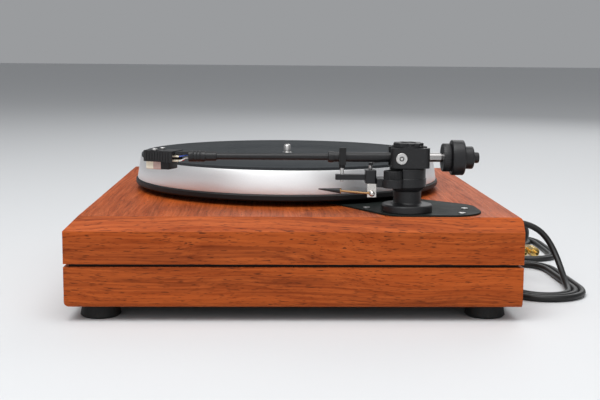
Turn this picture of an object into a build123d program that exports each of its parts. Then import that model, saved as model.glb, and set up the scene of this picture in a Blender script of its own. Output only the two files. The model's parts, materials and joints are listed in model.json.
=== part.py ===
"""Belt-driven turntable with a wooden two-part plinth, tonearm and leads.

Millimetres. +X is the deck's right, +Y its rear, +Z up. The origin is on the
surface that the feet stand on, under the middle of the plinth.
"""
from build123d import *
import math
import os

# ---- plinth -------------------------------------------------------------
deck_width = 398.0        # left to right
deck_depth = 378.0        # front to rear
foot_height = 12.0
lower_height = 33.9       # lower wooden frame
gap_height = 2.6          # dark recessed line between the two halves
upper_height = 38.0       # upper wooden half
top_thickness = 12.0
wall = 16.0
bevel = 11.0              # sloped edge of the top, front and sides
rear_round = 3.0
bottom_round = 5.0
gap_recess = 4.0
corner_block = 34.0       # solid inner corners that take the long screws
board_thickness = 5.0
board_rebate = 7.0
board_gap = 0.3
corner_inset = 26.0       # long screws, in from the outer faces
screw_radius = 2.0
screw_clearance = 0.1
screw_head_radius = 4.2
screw_head_height = 2.6
screw_slot_length = 5.5
screw_slot_width = 1.0
screw_slot_depth = 1.2
screw_bite = 24.0         # length of the screw in the upper half
foot_radius = 17.0
foot_top_radius = 15.0
foot_counterbore = 6.0
foot_edge = 1.5

# ---- platter ------------------------------------------------------------
spindle_x = -15.5
spindle_y = -3.0
platter_lift = 10.5       # rim's lower edge above the plinth
rim_height = 21.35
rim_radius = 150.0
rim_taper = 3.2           # the rim leans in by this much
rim_edge = 0.8
plate_cone = 6.0          # sloped corner between the plate and the rim
rim_wall = 9.0
plate_thickness = 5.4
skirt_proud = 1.5         # beyond the rim
skirt_height = 5.6
skirt_wall = 12.0
mat_margin = 0.8          # inside the rim's top edge
mat_edge = 0.6
mat_thickness = 2.6
spindle_radius = 3.55
spindle_above_mat = 8.1
mat_clearance = 0.25      # of the mat's hole round the shaft
shaft_radius = 5.0
shaft_clearance = 0.04
belt_room = 70.0          # from the inner platter's edge to the rim's
sub_height = 15.0
sub_hub_radius = 15.0
sub_hub_drop = 4.0
bush_wall = 2.5
bush_length = 10.0
housing_radius = 12.0
housing_flange_radius = 24.0
housing_flange = 3.5
housing_length = 50.0     # below the plinth's top surface
housing_floor = 4.0
ball_radius = 3.0
touch_gap = 0.05
hub_screw_inset = 5.5     # screws in from the flange's edge
hub_screw_bite = 7.0
hole_end_gap = 1.0        # a blind hole past its screw
bush_above_ball = 3.0
hub_screw_count = 3
small_screw_radius = 1.5
small_head_radius = 3.0
small_head_height = 1.6

# ---- motor and belt -----------------------------------------------------
pulley_space = 12.4       # between the inner platter and the pulley's flange
motor_angle = 135.0
motor_radius = 29.0
motor_height = 27.0
motor_flange_radius = 40.0
motor_flange = 3.0
motor_screw_circle = 34.5
motor_screw_count = 3
motor_shaft_radius = 1.5
motor_socket = 10.0       # depth of the shaft's hole in the can
motor_socket_gap = 0.2
motor_edge = 3.0
pulley_slow_radius = 10.65
pulley_fast_radius = 14.4
pulley_flange_radius = 15.6
pulley_flange = 1.5
pulley_step = 6.0
pulley_hole_radius = 18.0
pulley_lift = 0.5         # above the inner platter's lower face
belt_width = 4.0
belt_thickness = 0.8
belt_gap = 0.1

# ---- power button -------------------------------------------------------
button_x = -128.0
button_below_top = 24.0
button_radius = 6.0
button_length = 22.0
button_clearance = 0.1
button_travel = 2.5
button_end_gap = 0.8      # left behind the pressed button
button_edge = 0.8
switch_size = 24.0
switch_depth = 23.0

# ---- tonearm base -------------------------------------------------------
arm_right = 179.0         # arm's upright axis from the spindle
arm_behind = 98.5
armboard_thickness = 4.0
armboard_proud = 1.5
armboard_gap = 0.15
# Corners of the armboard from the arm's upright axis, each with its radius.
armboard_corners = [
    ((-75.5, -75.5), 8.0),
    ((23.5, -16.5), 22.0),
    ((23.5, 64.0), 28.0),
    ((-37.5, 64.0), 22.0),
    ((-88.5, 7.5), 8.0),
]
armboard_screw_spots = [(13.0, 45.0), (-13.5, 52.0), (-17.5, -32.5)]
armboard_head_height = 0.8
base_radius = 21.5
base_height = 6.5
pillar_radius = 11.85
pillar_top = 19.4         # heights from here on are above the plinth's top
stem_radius = 9.0
nut_across_flats = 28.0
nut_height = 5.0
stem_below_nut = 2.0
swivel_foot = 4.0         # lower end of the swivel above the plinth's top
base_edge = 1.0
pillar_flare = 1.5
bracket_floor = 23.0
bracket_top = 30.1
bracket_radius = 15.8
bracket_front = 26.9      # ahead of the arm's axis
bracket_left = 7.0
bracket_right = 12.0
boss_radius = 15.3
boss_top = 38.3
swivel_radius = 4.0
swivel_clearance = 0.05
dial_x = 12.5             # anti-skate dial, from the arm's axis
dial_y = -14.0
dial_radius = 7.7
dial_height = 7.0
dial_gap = 0.4
dial_pin_radius = 1.5
dial_pin_length = 4.8
dial_hole_depth = 5.0
dial_lift = 0.1
dial_dish = 1.2
dial_rim = 2.0
dial_seat_wall = 0.8

# ---- tonearm ------------------------------------------------------------
tube_axis = 47.3          # arm's centre line above the plinth's top
lift_pivot_ahead = 7.0    # level pivot, ahead of the upright axis
housing_bottom = 39.1
housing_top = 55.9
housing_half_width = 14.0
housing_rear = 17.2       # behind the upright axis
housing_front = 15.5      # ahead of the upright axis
housing_corner = 5.0
housing_slot = 6.5        # half width of the slot for the arm
housing_floor_height = 1.2
housing_floor_rear = 7.0
cap_radius = 13.4
cap_height = 3.9
cap_scoop = 12.0
cap_floor = 1.2           # left under the scoop
pivot_head_radius = 4.75
pivot_head_height = 1.0
pivot_shank_radius = 2.5
pivot_tip_radius = 1.2
cradle_half = 6.0
tube_radius = 4.15
tube_thin_radius = 2.82
tube_bore = 1.6
tube_collar_radius = 4.6
front_collar_radius = 3.9
connector_radius = 4.65
tube_step_ahead = 62.5    # from the arm's axis to where the thin tube ends
tube_collar_length = 5.0
tube_front_ahead = 161.1
front_collar_length = 9.3
connector_length = 14.3
stub_radius = 3.8
stub_end = 53.0           # behind the upright axis
dial_front = 29.0
force_dial_radius = 11.9
force_dial_length = 6.9
weight_radius = 14.9
weight_length = 11.0
weight_neck_radius = 9.6
weight_neck_length = 7.9
weight_tip_radius = 4.6
weight_tip_length = 5.0
weight_gap = 0.3

# ---- headshell and cartridge -------------------------------------------
head_angle = 25.0         # turned in towards the spindle
head_rear_ahead = 194.1   # middle of the shell's rear edge
shell_length = 27.0
shell_half_width = 9.5
shell_plate = 3.0
shell_wall = 1.4
shell_height = 9.3
shell_top = 51.9
shell_groove = 0.5
shell_groove_pitch = 2.6
tongue_half_width = 3.5
cartridge_bottom = 36.2
cartridge_half_width = 7.6
cartridge_rear = 4.0      # ahead of the shell's rear edge
cartridge_length = 22.0
cartridge_neck_length = 9.0
cartridge_neck_height = 6.4
cartridge_neck_inset = 0.6
stylus_proud = 1.0        # ahead of the cartridge
stylus_bottom = 35.8
stylus_half_width = 5.6
stylus_setback = 24.0     # stylus tip ahead of the shell's rear edge
cantilever_radius = 0.35
tip_height = 34.95
head_screw_spacing = 12.7
head_screw_ahead = 18.0
head_screw_radius = 1.25
head_screw_head = 2.3
head_screw_head_height = 1.5
head_slot_length = 9.0
head_slot_clearance = 0.1
wire_radius = 0.45
sleeve_radius = 0.85
sleeve_length = 6.0
wire_spread = 2.6
wire_drop = 3.8
pin_below_plate = 1.6

# ---- arm lift and rest --------------------------------------------------
lifter_length = 9.3
lifter_bottom = 25.5
lifter_top = 36.6
lifter_left = 4.0
lifter_right = 6.0
lift_pin_radius = 1.5
lift_pin_clearance = 0.05
lift_pin_depth = 8.8
lift_hole_depth = 9.0
lift_arc_width = 3.0
lift_arc_thickness = 2.0
lift_arc_gap = 0.55
lift_arc_inward = 50.0
lift_arc_outward = 6.0
rest_bar_length = 25.0
rest_bar_half_width = 3.5
rest_bar_bottom = 28.2
rest_bar_thickness = 4.4
rest_post_radius = 1.5
rest_post_ahead = 55.6
rest_post_foot = 26.6
clip_length = 5.8
clip_gap = 0.35
clip_wall = 2.2
clip_top = 55.6
clip_foot = 3.2
clip_plate = 1.5
clip_lip = 3.5
clip_lip_drop = 0.8
clip_foot_wall = 1.1
lever_x = 11.0            # lever's plane, to the right of the arm
lever_pivot_ahead = 31.0
lever_pivot_height = 17.6
lever_rod_radius = 0.9
lever_rod_length = 26.0
lever_tip_length = 19.0
lever_tip_radius = 2.3
lever_rise = 5.0
lever_ball_radius = 2.4
lever_ball_gap = 0.1
lever_end_radius = 0.5
lever_pin_radius = 1.0
lever_pin_clearance = 0.05
yoke_strap = 2.0
yoke_strap_width = 7.6
yoke_drop = 14.2

# ---- leads --------------------------------------------------------------
lead_height = 58.0        # where both leads leave the rear face
gland_flange_radius = 8.0
gland_flange = 2.0
gland_gap = 0.1
gland_sleeve_radius = 6.0
gland_taper_radius = 5.0
gland_lip = 0.9           # over the lead at the gland's end
coil_lift = 0.3           # of both coils above the surface
signal_x = -5.0
signal_radius = 2.5
signal_gland_length = 20.0
mains_x = 36.0
mains_radius = 3.0
mains_gland_length = 32.0
# Route corners of the stretches that are not coiled.
signal_route = [
    (-5.0, 209.0, 58.0),
    (-5.6, 222.0, 57.0),
    (-9.0, 236.0, 52.0),
    (-17.0, 245.5, 42.5),
    (-29.0, 249.0, 31.0),
    (-43.5, 246.5, 20.5),
    (-58.0, 240.0, 13.0),
    (-72.0, 233.5, 8.2),
    (-87.0, 230.0, 5.0),
    (-102.0, 229.2, 3.4),
]
signal_tail = [
    (-160.0, 285.5, 3.4),
    (-148.5, 281.5, 3.1),
    (-137.0, 275.0, 3.3),
    (-126.0, 269.0, 4.0),
    (-114.0, 266.0, 5.2),
]
mains_route = [
    (36.0, 221.0, 58.0),
    (36.6, 233.0, 56.2),
    (39.5, 246.0, 49.0),
    (45.5, 255.0, 37.5),
    (54.5, 260.5, 24.5),
    (66.5, 262.5, 14.0),
    (79.5, 262.3, 7.4),
    (93.0, 261.6, 4.2),
]
mains_tail = [
    (2.0, 193.0, 3.4),
    (-14.5, 194.4, 3.2),
    (-31.0, 199.5, 3.7),
    (-48.0, 206.2, 5.0),
    (-65.0, 210.0, 7.0),
]
signal_coil_x = -122.0
signal_coil_y = 264.0
signal_coil_long = 66.0
signal_coil_short = 28.0
signal_coil_band = 18.5    # width of its turns side by side
mains_coil_x = 46.0
mains_coil_y = 234.0
mains_coil_long = 78.0
mains_coil_short = 33.0
mains_coil_band = 22.5
mains_plug_length = 34.0
mains_plug_width = 26.0
mains_plug_height = 14.0
mains_pin_radius = 2.0
mains_pin_length = 19.0
mains_pin_pitch = 18.6
phono_radius = 5.0
phono_shell = 16.0
phono_pin_radius = 1.6
phono_pin = 9.0
phono_pitch = 13.0
splitter_length = 16.0
splitter_height = 8.0
splitter_drop = 1.3
phono_lift = 0.2
mains_plug_neck_width = 14.3
mains_plug_neck_height = 11.2

# ---- worked out from the values above -----------------------------------
lower_top = foot_height + lower_height
upper_bottom = lower_top + gap_height
top = upper_bottom + upper_height
ceiling = top - top_thickness
inner_width = deck_width - 2 * wall
inner_depth = deck_depth - 2 * wall
rear_face = deck_depth / 2
front_face = -deck_depth / 2
rim_bottom = top + platter_lift
rim_top = rim_bottom + rim_height
plate_under = rim_top - plate_thickness
rim_inner_radius = rim_radius - rim_wall
rim_top_radius = rim_radius - rim_taper
skirt_radius = rim_radius + skirt_proud
skirt_inner_radius = skirt_radius - skirt_wall
mat_radius = rim_top_radius - mat_margin
sub_radius = rim_radius - belt_room
motor_distance = sub_radius + pulley_space + pulley_flange_radius
hub_screw_circle = housing_flange_radius - hub_screw_inset
switch_recess = button_length - wall + button_travel + button_end_gap
arm_x = spindle_x + arm_right
arm_y = spindle_y + arm_behind
tube_step_y = arm_y - tube_step_ahead
tube_front_y = arm_y - tube_front_ahead
head_rear_y = arm_y - head_rear_ahead
rest_post_y = arm_y - rest_post_ahead
sub_bottom = plate_under - sub_height
mat_top = rim_top + mat_thickness
housing_bore = shaft_radius + shaft_clearance + bush_wall
housing_end = top - housing_length
ball_centre = housing_end + housing_floor + ball_radius
shaft_end = ball_centre + ball_radius + touch_gap
motor_x = spindle_x + motor_distance * math.cos(math.radians(motor_angle))
motor_y = spindle_y + motor_distance * math.sin(math.radians(motor_angle))
pulley_bottom = sub_bottom + pulley_lift
belt_bottom = pulley_bottom + pulley_flange + (pulley_step - belt_width) / 2
lift_pivot_y = arm_y - lift_pivot_ahead
arm_axis_z = top + tube_axis

spindle_at = (spindle_x, spindle_y)
motor_at = (motor_x, motor_y)
arm_at = (arm_x, arm_y)
corner_x = deck_width / 2 - corner_inset
corner_y = deck_depth / 2 - corner_inset
corner_at = [(sx * corner_x, sy * corner_y) for sx in (-1, 1) for sy in (-1, 1)]


def level(height):
    """Horizontal plane at a height above the surface."""
    return Plane.XY.offset(height)


def facing_y(y):
    """Upright plane at y; its local x is +X and its local y is +Z."""
    return Plane(origin=(0, y, 0), x_dir=(1, 0, 0), z_dir=(0, -1, 0))


def facing_x(x):
    """Upright plane at x; its local x is +Y and its local y is +Z."""
    return Plane(origin=(x, 0, 0), x_dir=(0, 1, 0), z_dir=(1, 0, 0))


parts = []


def finish(builder, name):
    """Label a finished piece and keep it for export."""
    builder.part.label = name
    parts.append(builder.part)


# ---- plinth -------------------------------------------------------------
def armboard_outline(grow):
    """Rounded outline of the armboard, grown by a clearance."""
    with BuildSketch() as outline:
        with BuildLine():
            Polyline(*[(arm_x + x, arm_y + y) for (x, y), _ in armboard_corners], close=True)
        make_face()
        for (x, y), corner_radius in armboard_corners:
            corner = (arm_x + x, arm_y + y)
            fillet(outline.vertices().sort_by_distance(corner)[0], corner_radius)
        if grow:
            offset(amount=grow)
    return outline.sketch


with BuildPart() as upper_plinth:
    with BuildSketch(level(upper_bottom)):
        Rectangle(deck_width, deck_depth)
    extrude(amount=upper_height)
    rim_edges = upper_plinth.faces().sort_by(Axis.Z)[-1].edges()
    sides = rim_edges.filter_by(Axis.Y) + rim_edges.sort_by(Axis.Y)[:1]
    chamfer(sides, bevel)
    fillet(upper_plinth.faces().sort_by(Axis.Z)[-1].edges().sort_by(Axis.Y)[-1], rear_round)
    with BuildSketch(level(upper_bottom)):
        Rectangle(inner_width, inner_depth)
    extrude(amount=upper_height - top_thickness, mode=Mode.SUBTRACT)
    with BuildSketch(level(upper_bottom)):
        with Locations(*corner_at):
            Rectangle(corner_block, corner_block)
    extrude(amount=upper_height - top_thickness)
    with BuildSketch(level(upper_bottom)):
        with Locations(*corner_at):
            Circle(screw_radius + screw_clearance)
    extrude(amount=screw_bite + hole_end_gap, mode=Mode.SUBTRACT)
    with BuildSketch(level(ceiling)):
        with Locations(spindle_at):
            Circle(housing_radius + screw_clearance)
        with Locations(motor_at):
            Circle(pulley_hole_radius)
        with Locations(arm_at):
            Circle(stem_radius + screw_clearance)
    extrude(amount=top_thickness, mode=Mode.SUBTRACT)
    with BuildSketch(level(top - armboard_thickness + armboard_proud)):
        add(armboard_outline(armboard_gap))
    extrude(amount=armboard_thickness, mode=Mode.SUBTRACT)
    hub_hole_depth = hub_screw_bite + hole_end_gap
    with BuildSketch(level(top - hub_hole_depth)):
        with Locations(spindle_at):
            with PolarLocations(hub_screw_circle, hub_screw_count, start_angle=90):
                Circle(small_screw_radius + screw_clearance)
    extrude(amount=hub_hole_depth, mode=Mode.SUBTRACT)
    with BuildSketch(facing_y(front_face)):
        with Locations((button_x, top - button_below_top)):
            Circle(button_radius + button_clearance)
    extrude(amount=-(wall + 1), mode=Mode.SUBTRACT)
    with BuildSketch(facing_y(rear_face)):
        with Locations((signal_x, lead_height), (mains_x, lead_height)):
            Circle(gland_sleeve_radius + gland_gap)
    extrude(amount=wall + 1, mode=Mode.SUBTRACT)
finish(upper_plinth, "upper_plinth")

with BuildPart() as spacer_frame:
    with BuildSketch(level(lower_top)):
        Rectangle(deck_width - 2 * gap_recess, deck_depth - 2 * gap_recess)
        Rectangle(inner_width, inner_depth, mode=Mode.SUBTRACT)
        with Locations(*corner_at):
            Rectangle(corner_block, corner_block)
        with Locations(*corner_at):
            Circle(screw_radius + screw_clearance, mode=Mode.SUBTRACT)
    extrude(amount=gap_height)
finish(spacer_frame, "spacer_frame")

with BuildPart() as lower_plinth:
    with BuildSketch(level(foot_height)):
        Rectangle(deck_width, deck_depth)
    extrude(amount=lower_height)
    floor_edges = lower_plinth.faces().sort_by(Axis.Z)[0].edges()
    fillet(floor_edges.filter_by(Axis.Y) + floor_edges.sort_by(Axis.Y)[:1], bottom_round)
    with BuildSketch(level(foot_height)):
        Rectangle(inner_width, inner_depth)
    extrude(amount=lower_height, mode=Mode.SUBTRACT)
    with BuildSketch(level(foot_height)):
        Rectangle(inner_width + 2 * board_rebate, inner_depth + 2 * board_rebate)
    extrude(amount=board_thickness, mode=Mode.SUBTRACT)
    with BuildSketch(level(foot_height + board_thickness)):
        with Locations(*corner_at):
            Rectangle(corner_block, corner_block)
    extrude(amount=lower_height - board_thickness)
    with BuildSketch(level(foot_height)):
        with Locations(*corner_at):
            Circle(screw_radius + screw_clearance)
    extrude(amount=lower_height, mode=Mode.SUBTRACT)
finish(lower_plinth, "lower_plinth")

with BuildPart() as base_board:
    with BuildSketch(level(foot_height)):
        rebate = 2 * (board_rebate - board_gap)
        Rectangle(inner_width + rebate, inner_depth + rebate)
        with Locations(*corner_at):
            Circle(screw_radius + screw_clearance, mode=Mode.SUBTRACT)
    extrude(amount=board_thickness)
finish(base_board, "base_board")

corner_names = ["front_left", "rear_left", "front_right", "rear_right"]
for corner_name, (x, y) in zip(corner_names, corner_at):
    with BuildPart() as foot:
        with BuildSketch(Plane(origin=(x, y, 0), x_dir=(1, 0, 0), z_dir=(0, -1, 0))):
            with BuildLine():
                Polyline(
                    (screw_radius + screw_clearance, foot_height),
                    (foot_top_radius, foot_height),
                    (foot_radius, foot_edge),
                    (foot_radius - foot_edge, 0),
                    (foot_counterbore, 0),
                    (foot_counterbore, foot_height / 2),
                    (screw_radius + screw_clearance, foot_height / 2),
                    close=True,
                )
            make_face()
        revolve(axis=Axis((x, y, 0), (0, 0, 1)))
    finish(foot, "foot_" + corner_name)

with BuildPart() as corner_screws:
    head_bottom = foot_height / 2 - screw_head_height
    with BuildSketch(level(head_bottom)):
        with Locations(*corner_at):
            Circle(screw_head_radius)
    extrude(amount=screw_head_height)
    with BuildSketch(level(foot_height / 2)):
        with Locations(*corner_at):
            Circle(screw_radius)
    extrude(amount=upper_bottom + screw_bite - foot_height / 2)
    with BuildSketch(level(head_bottom)):
        with Locations(*corner_at):
            Rectangle(screw_slot_length, screw_slot_width)
            Rectangle(screw_slot_width, screw_slot_length)
    extrude(amount=screw_slot_depth, mode=Mode.SUBTRACT)
finish(corner_screws, "corner_screws")

# ---- main bearing -------------------------------------------------------
with BuildPart() as bearing_housing:
    with BuildSketch(level(housing_end)):
        with Locations(spindle_at):
            Circle(housing_radius)
    extrude(amount=housing_length)
    with BuildSketch(level(top)):
        with Locations(spindle_at):
            Circle(housing_flange_radius)
    extrude(amount=housing_flange)
    chamfer(bearing_housing.edges().sort_by(Axis.Z)[-1], 1)
    with BuildSketch(level(housing_end + housing_floor)):
        with Locations(spindle_at):
            Circle(housing_bore)
    extrude(amount=housing_length, mode=Mode.SUBTRACT)
    with BuildSketch(level(top)):
        with Locations(spindle_at):
            with PolarLocations(hub_screw_circle, hub_screw_count, start_angle=90):
                Circle(small_screw_radius + screw_clearance)
    extrude(amount=housing_flange, mode=Mode.SUBTRACT)
finish(bearing_housing, "bearing_housing")

with BuildPart() as bearing_bushes:
    for bush_bottom in (top + housing_flange - bush_length, ball_centre + ball_radius + bush_above_ball):
        with BuildSketch(level(bush_bottom)):
            with Locations(spindle_at):
                Circle(housing_bore)
                Circle(shaft_radius + shaft_clearance, mode=Mode.SUBTRACT)
        extrude(amount=bush_length)
finish(bearing_bushes, "bearing_bushes")

with BuildPart() as thrust_ball:
    with Locations((spindle_x, spindle_y, ball_centre)):
        Sphere(ball_radius)
finish(thrust_ball, "thrust_ball")

# ---- platter ------------------------------------------------------------
def turned(points, axis_x, axis_y):
    """Solid of revolution about the upright axis at axis_x, axis_y."""
    with BuildPart() as body:
        with BuildSketch(Plane(origin=(axis_x, axis_y, 0), x_dir=(1, 0, 0), z_dir=(0, -1, 0))):
            with BuildLine():
                Polyline(*points, close=True)
            make_face()
        revolve(axis=Axis((axis_x, axis_y, 0), (0, 0, 1)))
    return body


sub_platter = turned(
    [
        (shaft_radius, sub_bottom - sub_hub_drop),
        (sub_hub_radius, sub_bottom - sub_hub_drop),
        (sub_hub_radius, sub_bottom),
        (sub_radius, sub_bottom),
        (sub_radius, plate_under),
        (shaft_radius, plate_under),
    ],
    spindle_x,
    spindle_y,
)
finish(sub_platter, "sub_platter")

platter_shaft = turned(
    [
        (0, shaft_end),
        (shaft_radius - 1, shaft_end),
        (shaft_radius, shaft_end + 1),
        (shaft_radius, mat_top),
        (spindle_radius, mat_top),
        (spindle_radius, mat_top + spindle_above_mat - 2),
        (spindle_radius - 0.6, mat_top + spindle_above_mat - 0.7),
        (spindle_radius - 1.8, mat_top + spindle_above_mat),
        (0, mat_top + spindle_above_mat),
    ],
    spindle_x,
    spindle_y,
)
finish(platter_shaft, "platter_shaft")

outer_platter = turned(
    [
        (shaft_radius, plate_under),
        (rim_inner_radius - plate_cone, plate_under),
        (rim_inner_radius, plate_under - plate_cone),
        (rim_inner_radius, rim_bottom),
        (rim_radius - 0.5, rim_bottom),
        (rim_radius, rim_bottom + rim_edge),
        (rim_top_radius, rim_top - rim_edge),
        (rim_top_radius - rim_edge, rim_top),
        (shaft_radius, rim_top),
    ],
    spindle_x,
    spindle_y,
)
finish(outer_platter, "outer_platter")

platter_skirt = turned(
    [
        (skirt_inner_radius, rim_bottom - skirt_height),
        (skirt_radius - 2, rim_bottom - skirt_height),
        (skirt_radius, rim_bottom - skirt_height + 2),
        (skirt_radius, rim_bottom - 1),
        (skirt_radius - 1, rim_bottom),
        (skirt_inner_radius, rim_bottom),
    ],
    spindle_x,
    spindle_y,
)
finish(platter_skirt, "platter_skirt")

platter_mat = turned(
    [
        (shaft_radius + mat_clearance, rim_top),
        (mat_radius, rim_top),
        (mat_radius, mat_top - mat_edge),
        (mat_radius - mat_edge, mat_top),
        (shaft_radius + mat_clearance, mat_top),
    ],
    spindle_x,
    spindle_y,
)
finish(platter_mat, "platter_mat")

# ---- motor and belt -----------------------------------------------------
motor_top = ceiling - motor_flange
with BuildPart() as motor_can:
    with BuildSketch(level(motor_top)):
        with Locations(motor_at):
            Circle(motor_flange_radius)
    extrude(amount=motor_flange)
    with BuildSketch(level(motor_top - motor_height)):
        with Locations(motor_at):
            Circle(motor_radius)
    extrude(amount=motor_height)
    fillet(motor_can.edges().sort_by(Axis.Z)[0], motor_edge)
    with BuildSketch(level(motor_top - motor_socket)):
        with Locations(motor_at):
            Circle(motor_shaft_radius + shaft_clearance)
    extrude(amount=motor_socket + motor_flange, mode=Mode.SUBTRACT)
    with BuildSketch(level(motor_top)):
        with Locations(motor_at):
            with PolarLocations(motor_screw_circle, motor_screw_count):
                Circle(small_screw_radius + screw_clearance)
    extrude(amount=motor_flange, mode=Mode.SUBTRACT)
finish(motor_can, "motor_can")

with BuildPart() as machine_screws:
    with BuildSketch(level(top - hub_screw_bite)):
        with Locations(spindle_at):
            with PolarLocations(hub_screw_circle, hub_screw_count, start_angle=90):
                Circle(small_screw_radius)
    extrude(amount=hub_screw_bite + housing_flange)
    with BuildSketch(level(top + housing_flange)):
        with Locations(spindle_at):
            with PolarLocations(hub_screw_circle, hub_screw_count, start_angle=90):
                Circle(small_head_radius)
    extrude(amount=small_head_height)
    with BuildSketch(level(motor_top - small_head_height)):
        with Locations(motor_at):
            with PolarLocations(motor_screw_circle, motor_screw_count):
                Circle(small_head_radius)
    extrude(amount=small_head_height)
    with BuildSketch(level(motor_top)):
        with Locations(motor_at):
            with PolarLocations(motor_screw_circle, motor_screw_count):
                Circle(small_screw_radius)
    extrude(amount=motor_flange)
finish(machine_screws, "machine_screws")

pulley_top = pulley_bottom + pulley_flange + 2 * pulley_step
motor_pulley = turned(
    [
        (motor_shaft_radius, pulley_bottom),
        (pulley_flange_radius, pulley_bottom),
        (pulley_flange_radius, pulley_bottom + pulley_flange),
        (pulley_slow_radius, pulley_bottom + pulley_flange),
        (pulley_slow_radius, pulley_bottom + pulley_flange + pulley_step),
        (pulley_fast_radius, pulley_bottom + pulley_flange + pulley_step),
        (pulley_fast_radius, pulley_top),
        (motor_shaft_radius, pulley_top),
    ],
    motor_x,
    motor_y,
)
finish(motor_pulley, "motor_pulley")

shaft_foot = motor_top - motor_socket + motor_socket_gap
motor_shaft = turned(
    [
        (0, shaft_foot),
        (motor_shaft_radius, shaft_foot),
        (motor_shaft_radius, pulley_top),
        (0, pulley_top),
    ],
    motor_x,
    motor_y,
)
finish(motor_shaft, "motor_shaft")


def belt_loop(thickness):
    """Loop round the inner platter and the pulley, at a distance off both."""
    with BuildSketch() as loop:
        with Locations(spindle_at):
            Circle(sub_radius + belt_gap + thickness)
        with Locations(motor_at):
            Circle(pulley_slow_radius + belt_gap + thickness)
        make_hull()
    return loop.sketch


with BuildPart() as drive_belt:
    with BuildSketch(level(belt_bottom)):
        add(belt_loop(belt_thickness))
        add(belt_loop(0), mode=Mode.SUBTRACT)
    extrude(amount=belt_width)
finish(drive_belt, "drive_belt")

# ---- power button -------------------------------------------------------
button_z = top - button_below_top
with BuildPart() as power_button:
    with BuildSketch(facing_y(front_face)):
        with Locations((button_x, button_z)):
            Circle(button_radius)
    extrude(amount=-button_length)
    fillet(power_button.faces().sort_by(Axis.Y)[0].edges(), button_edge)
finish(power_button, "power_button")

with BuildPart() as power_switch:
    with BuildSketch(facing_y(front_face + wall)):
        with Locations((button_x, button_z)):
            Rectangle(switch_size, switch_size)
    extrude(amount=-switch_depth)
    with BuildSketch(facing_y(front_face + wall)):
        with Locations((button_x, button_z)):
            Circle(button_radius + 1)
    extrude(amount=-switch_recess, mode=Mode.SUBTRACT)
finish(power_switch, "power_switch")

# ---- tonearm base -------------------------------------------------------
board_top = top + armboard_proud
screw_spots = [(arm_x + x, arm_y + y) for x, y in armboard_screw_spots]
with BuildPart() as armboard:
    with BuildSketch(level(board_top - armboard_thickness)):
        add(armboard_outline(0))
        with Locations(arm_at):
            Circle(stem_radius + screw_clearance, mode=Mode.SUBTRACT)
        with Locations(*screw_spots):
            Circle(small_screw_radius + screw_clearance, mode=Mode.SUBTRACT)
    extrude(amount=armboard_thickness)
finish(armboard, "armboard")

with BuildPart() as armboard_screws:
    with BuildSketch(level(board_top - armboard_thickness)):
        with Locations(*screw_spots):
            Circle(small_screw_radius)
    extrude(amount=armboard_thickness)
    with BuildSketch(level(board_top)):
        with Locations(*screw_spots):
            Circle(small_head_radius)
    extrude(amount=armboard_head_height)
finish(armboard_screws, "armboard_screws")

swivel_bore = swivel_radius + swivel_clearance
swivel_end = top + swivel_foot
stem_end = ceiling - nut_height - stem_below_nut
arm_base = turned(
    [
        (swivel_bore, stem_end),
        (stem_radius, stem_end),
        (stem_radius, board_top),
        (base_radius, board_top),
        (base_radius, board_top + base_height - base_edge),
        (base_radius - base_edge, board_top + base_height),
        (pillar_radius + pillar_flare, board_top + base_height),
        (pillar_radius, board_top + base_height + pillar_flare),
        (pillar_radius, top + pillar_top),
        (swivel_bore, top + pillar_top),
    ],
    arm_x,
    arm_y,
)
finish(arm_base, "arm_base")

with BuildPart() as arm_nut:
    with BuildSketch(level(ceiling - nut_height)):
        with Locations(arm_at):
            RegularPolygon(nut_across_flats / 2, 6, major_radius=False)
            Circle(stem_radius + screw_clearance, mode=Mode.SUBTRACT)
    extrude(amount=nut_height)
finish(arm_nut, "arm_nut")

with BuildPart() as arm_bracket:
    with BuildSketch(level(top + pillar_top)):
        with Locations(arm_at):
            Circle(pillar_radius)
    with BuildSketch(level(top + bracket_floor)):
        with Locations(arm_at):
            Circle(bracket_radius)
    loft()
    with BuildSketch(level(top + bracket_floor)):
        with Locations(arm_at):
            Circle(bracket_radius)
        front_width = bracket_left + bracket_right
        with Locations((arm_x + (bracket_right - bracket_left) / 2, arm_y - bracket_front / 2)):
            Rectangle(front_width, bracket_front)
        with Locations((arm_x + dial_x, arm_y + dial_y)):
            Circle(dial_radius + dial_seat_wall)
    extrude(amount=bracket_top - bracket_floor)
    with BuildSketch(level(top + bracket_top)):
        with Locations(arm_at):
            Circle(boss_radius)
        with Locations((arm_x + dial_x, arm_y + dial_y)):
            Circle(dial_radius + dial_gap, mode=Mode.SUBTRACT)
    extrude(amount=boss_top - bracket_top)
    with BuildSketch(level(top + pillar_top)):
        with Locations(arm_at):
            Circle(swivel_bore)
    extrude(amount=boss_top - pillar_top, mode=Mode.SUBTRACT)
    with BuildSketch(level(top + bracket_top - dial_hole_depth)):
        with Locations((arm_x + dial_x, arm_y + dial_y)):
            Circle(dial_pin_radius + swivel_clearance)
    extrude(amount=dial_hole_depth, mode=Mode.SUBTRACT)
finish(arm_bracket, "arm_bracket")

with BuildPart() as anti_skate_dial:
    dial_bottom = top + bracket_top + dial_lift
    with BuildSketch(level(dial_bottom)):
        with Locations((arm_x + dial_x, arm_y + dial_y)):
            Circle(dial_radius)
    extrude(amount=dial_height)
    with BuildSketch(level(dial_bottom + dial_height - dial_dish)):
        with Locations((arm_x + dial_x, arm_y + dial_y)):
            Circle(dial_radius - dial_rim)
    extrude(amount=dial_dish, mode=Mode.SUBTRACT)
    with BuildSketch(level(dial_bottom - dial_pin_length)):
        with Locations((arm_x + dial_x, arm_y + dial_y)):
            Circle(dial_pin_radius)
    extrude(amount=dial_pin_length)
finish(anti_skate_dial, "anti_skate_dial")

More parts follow.
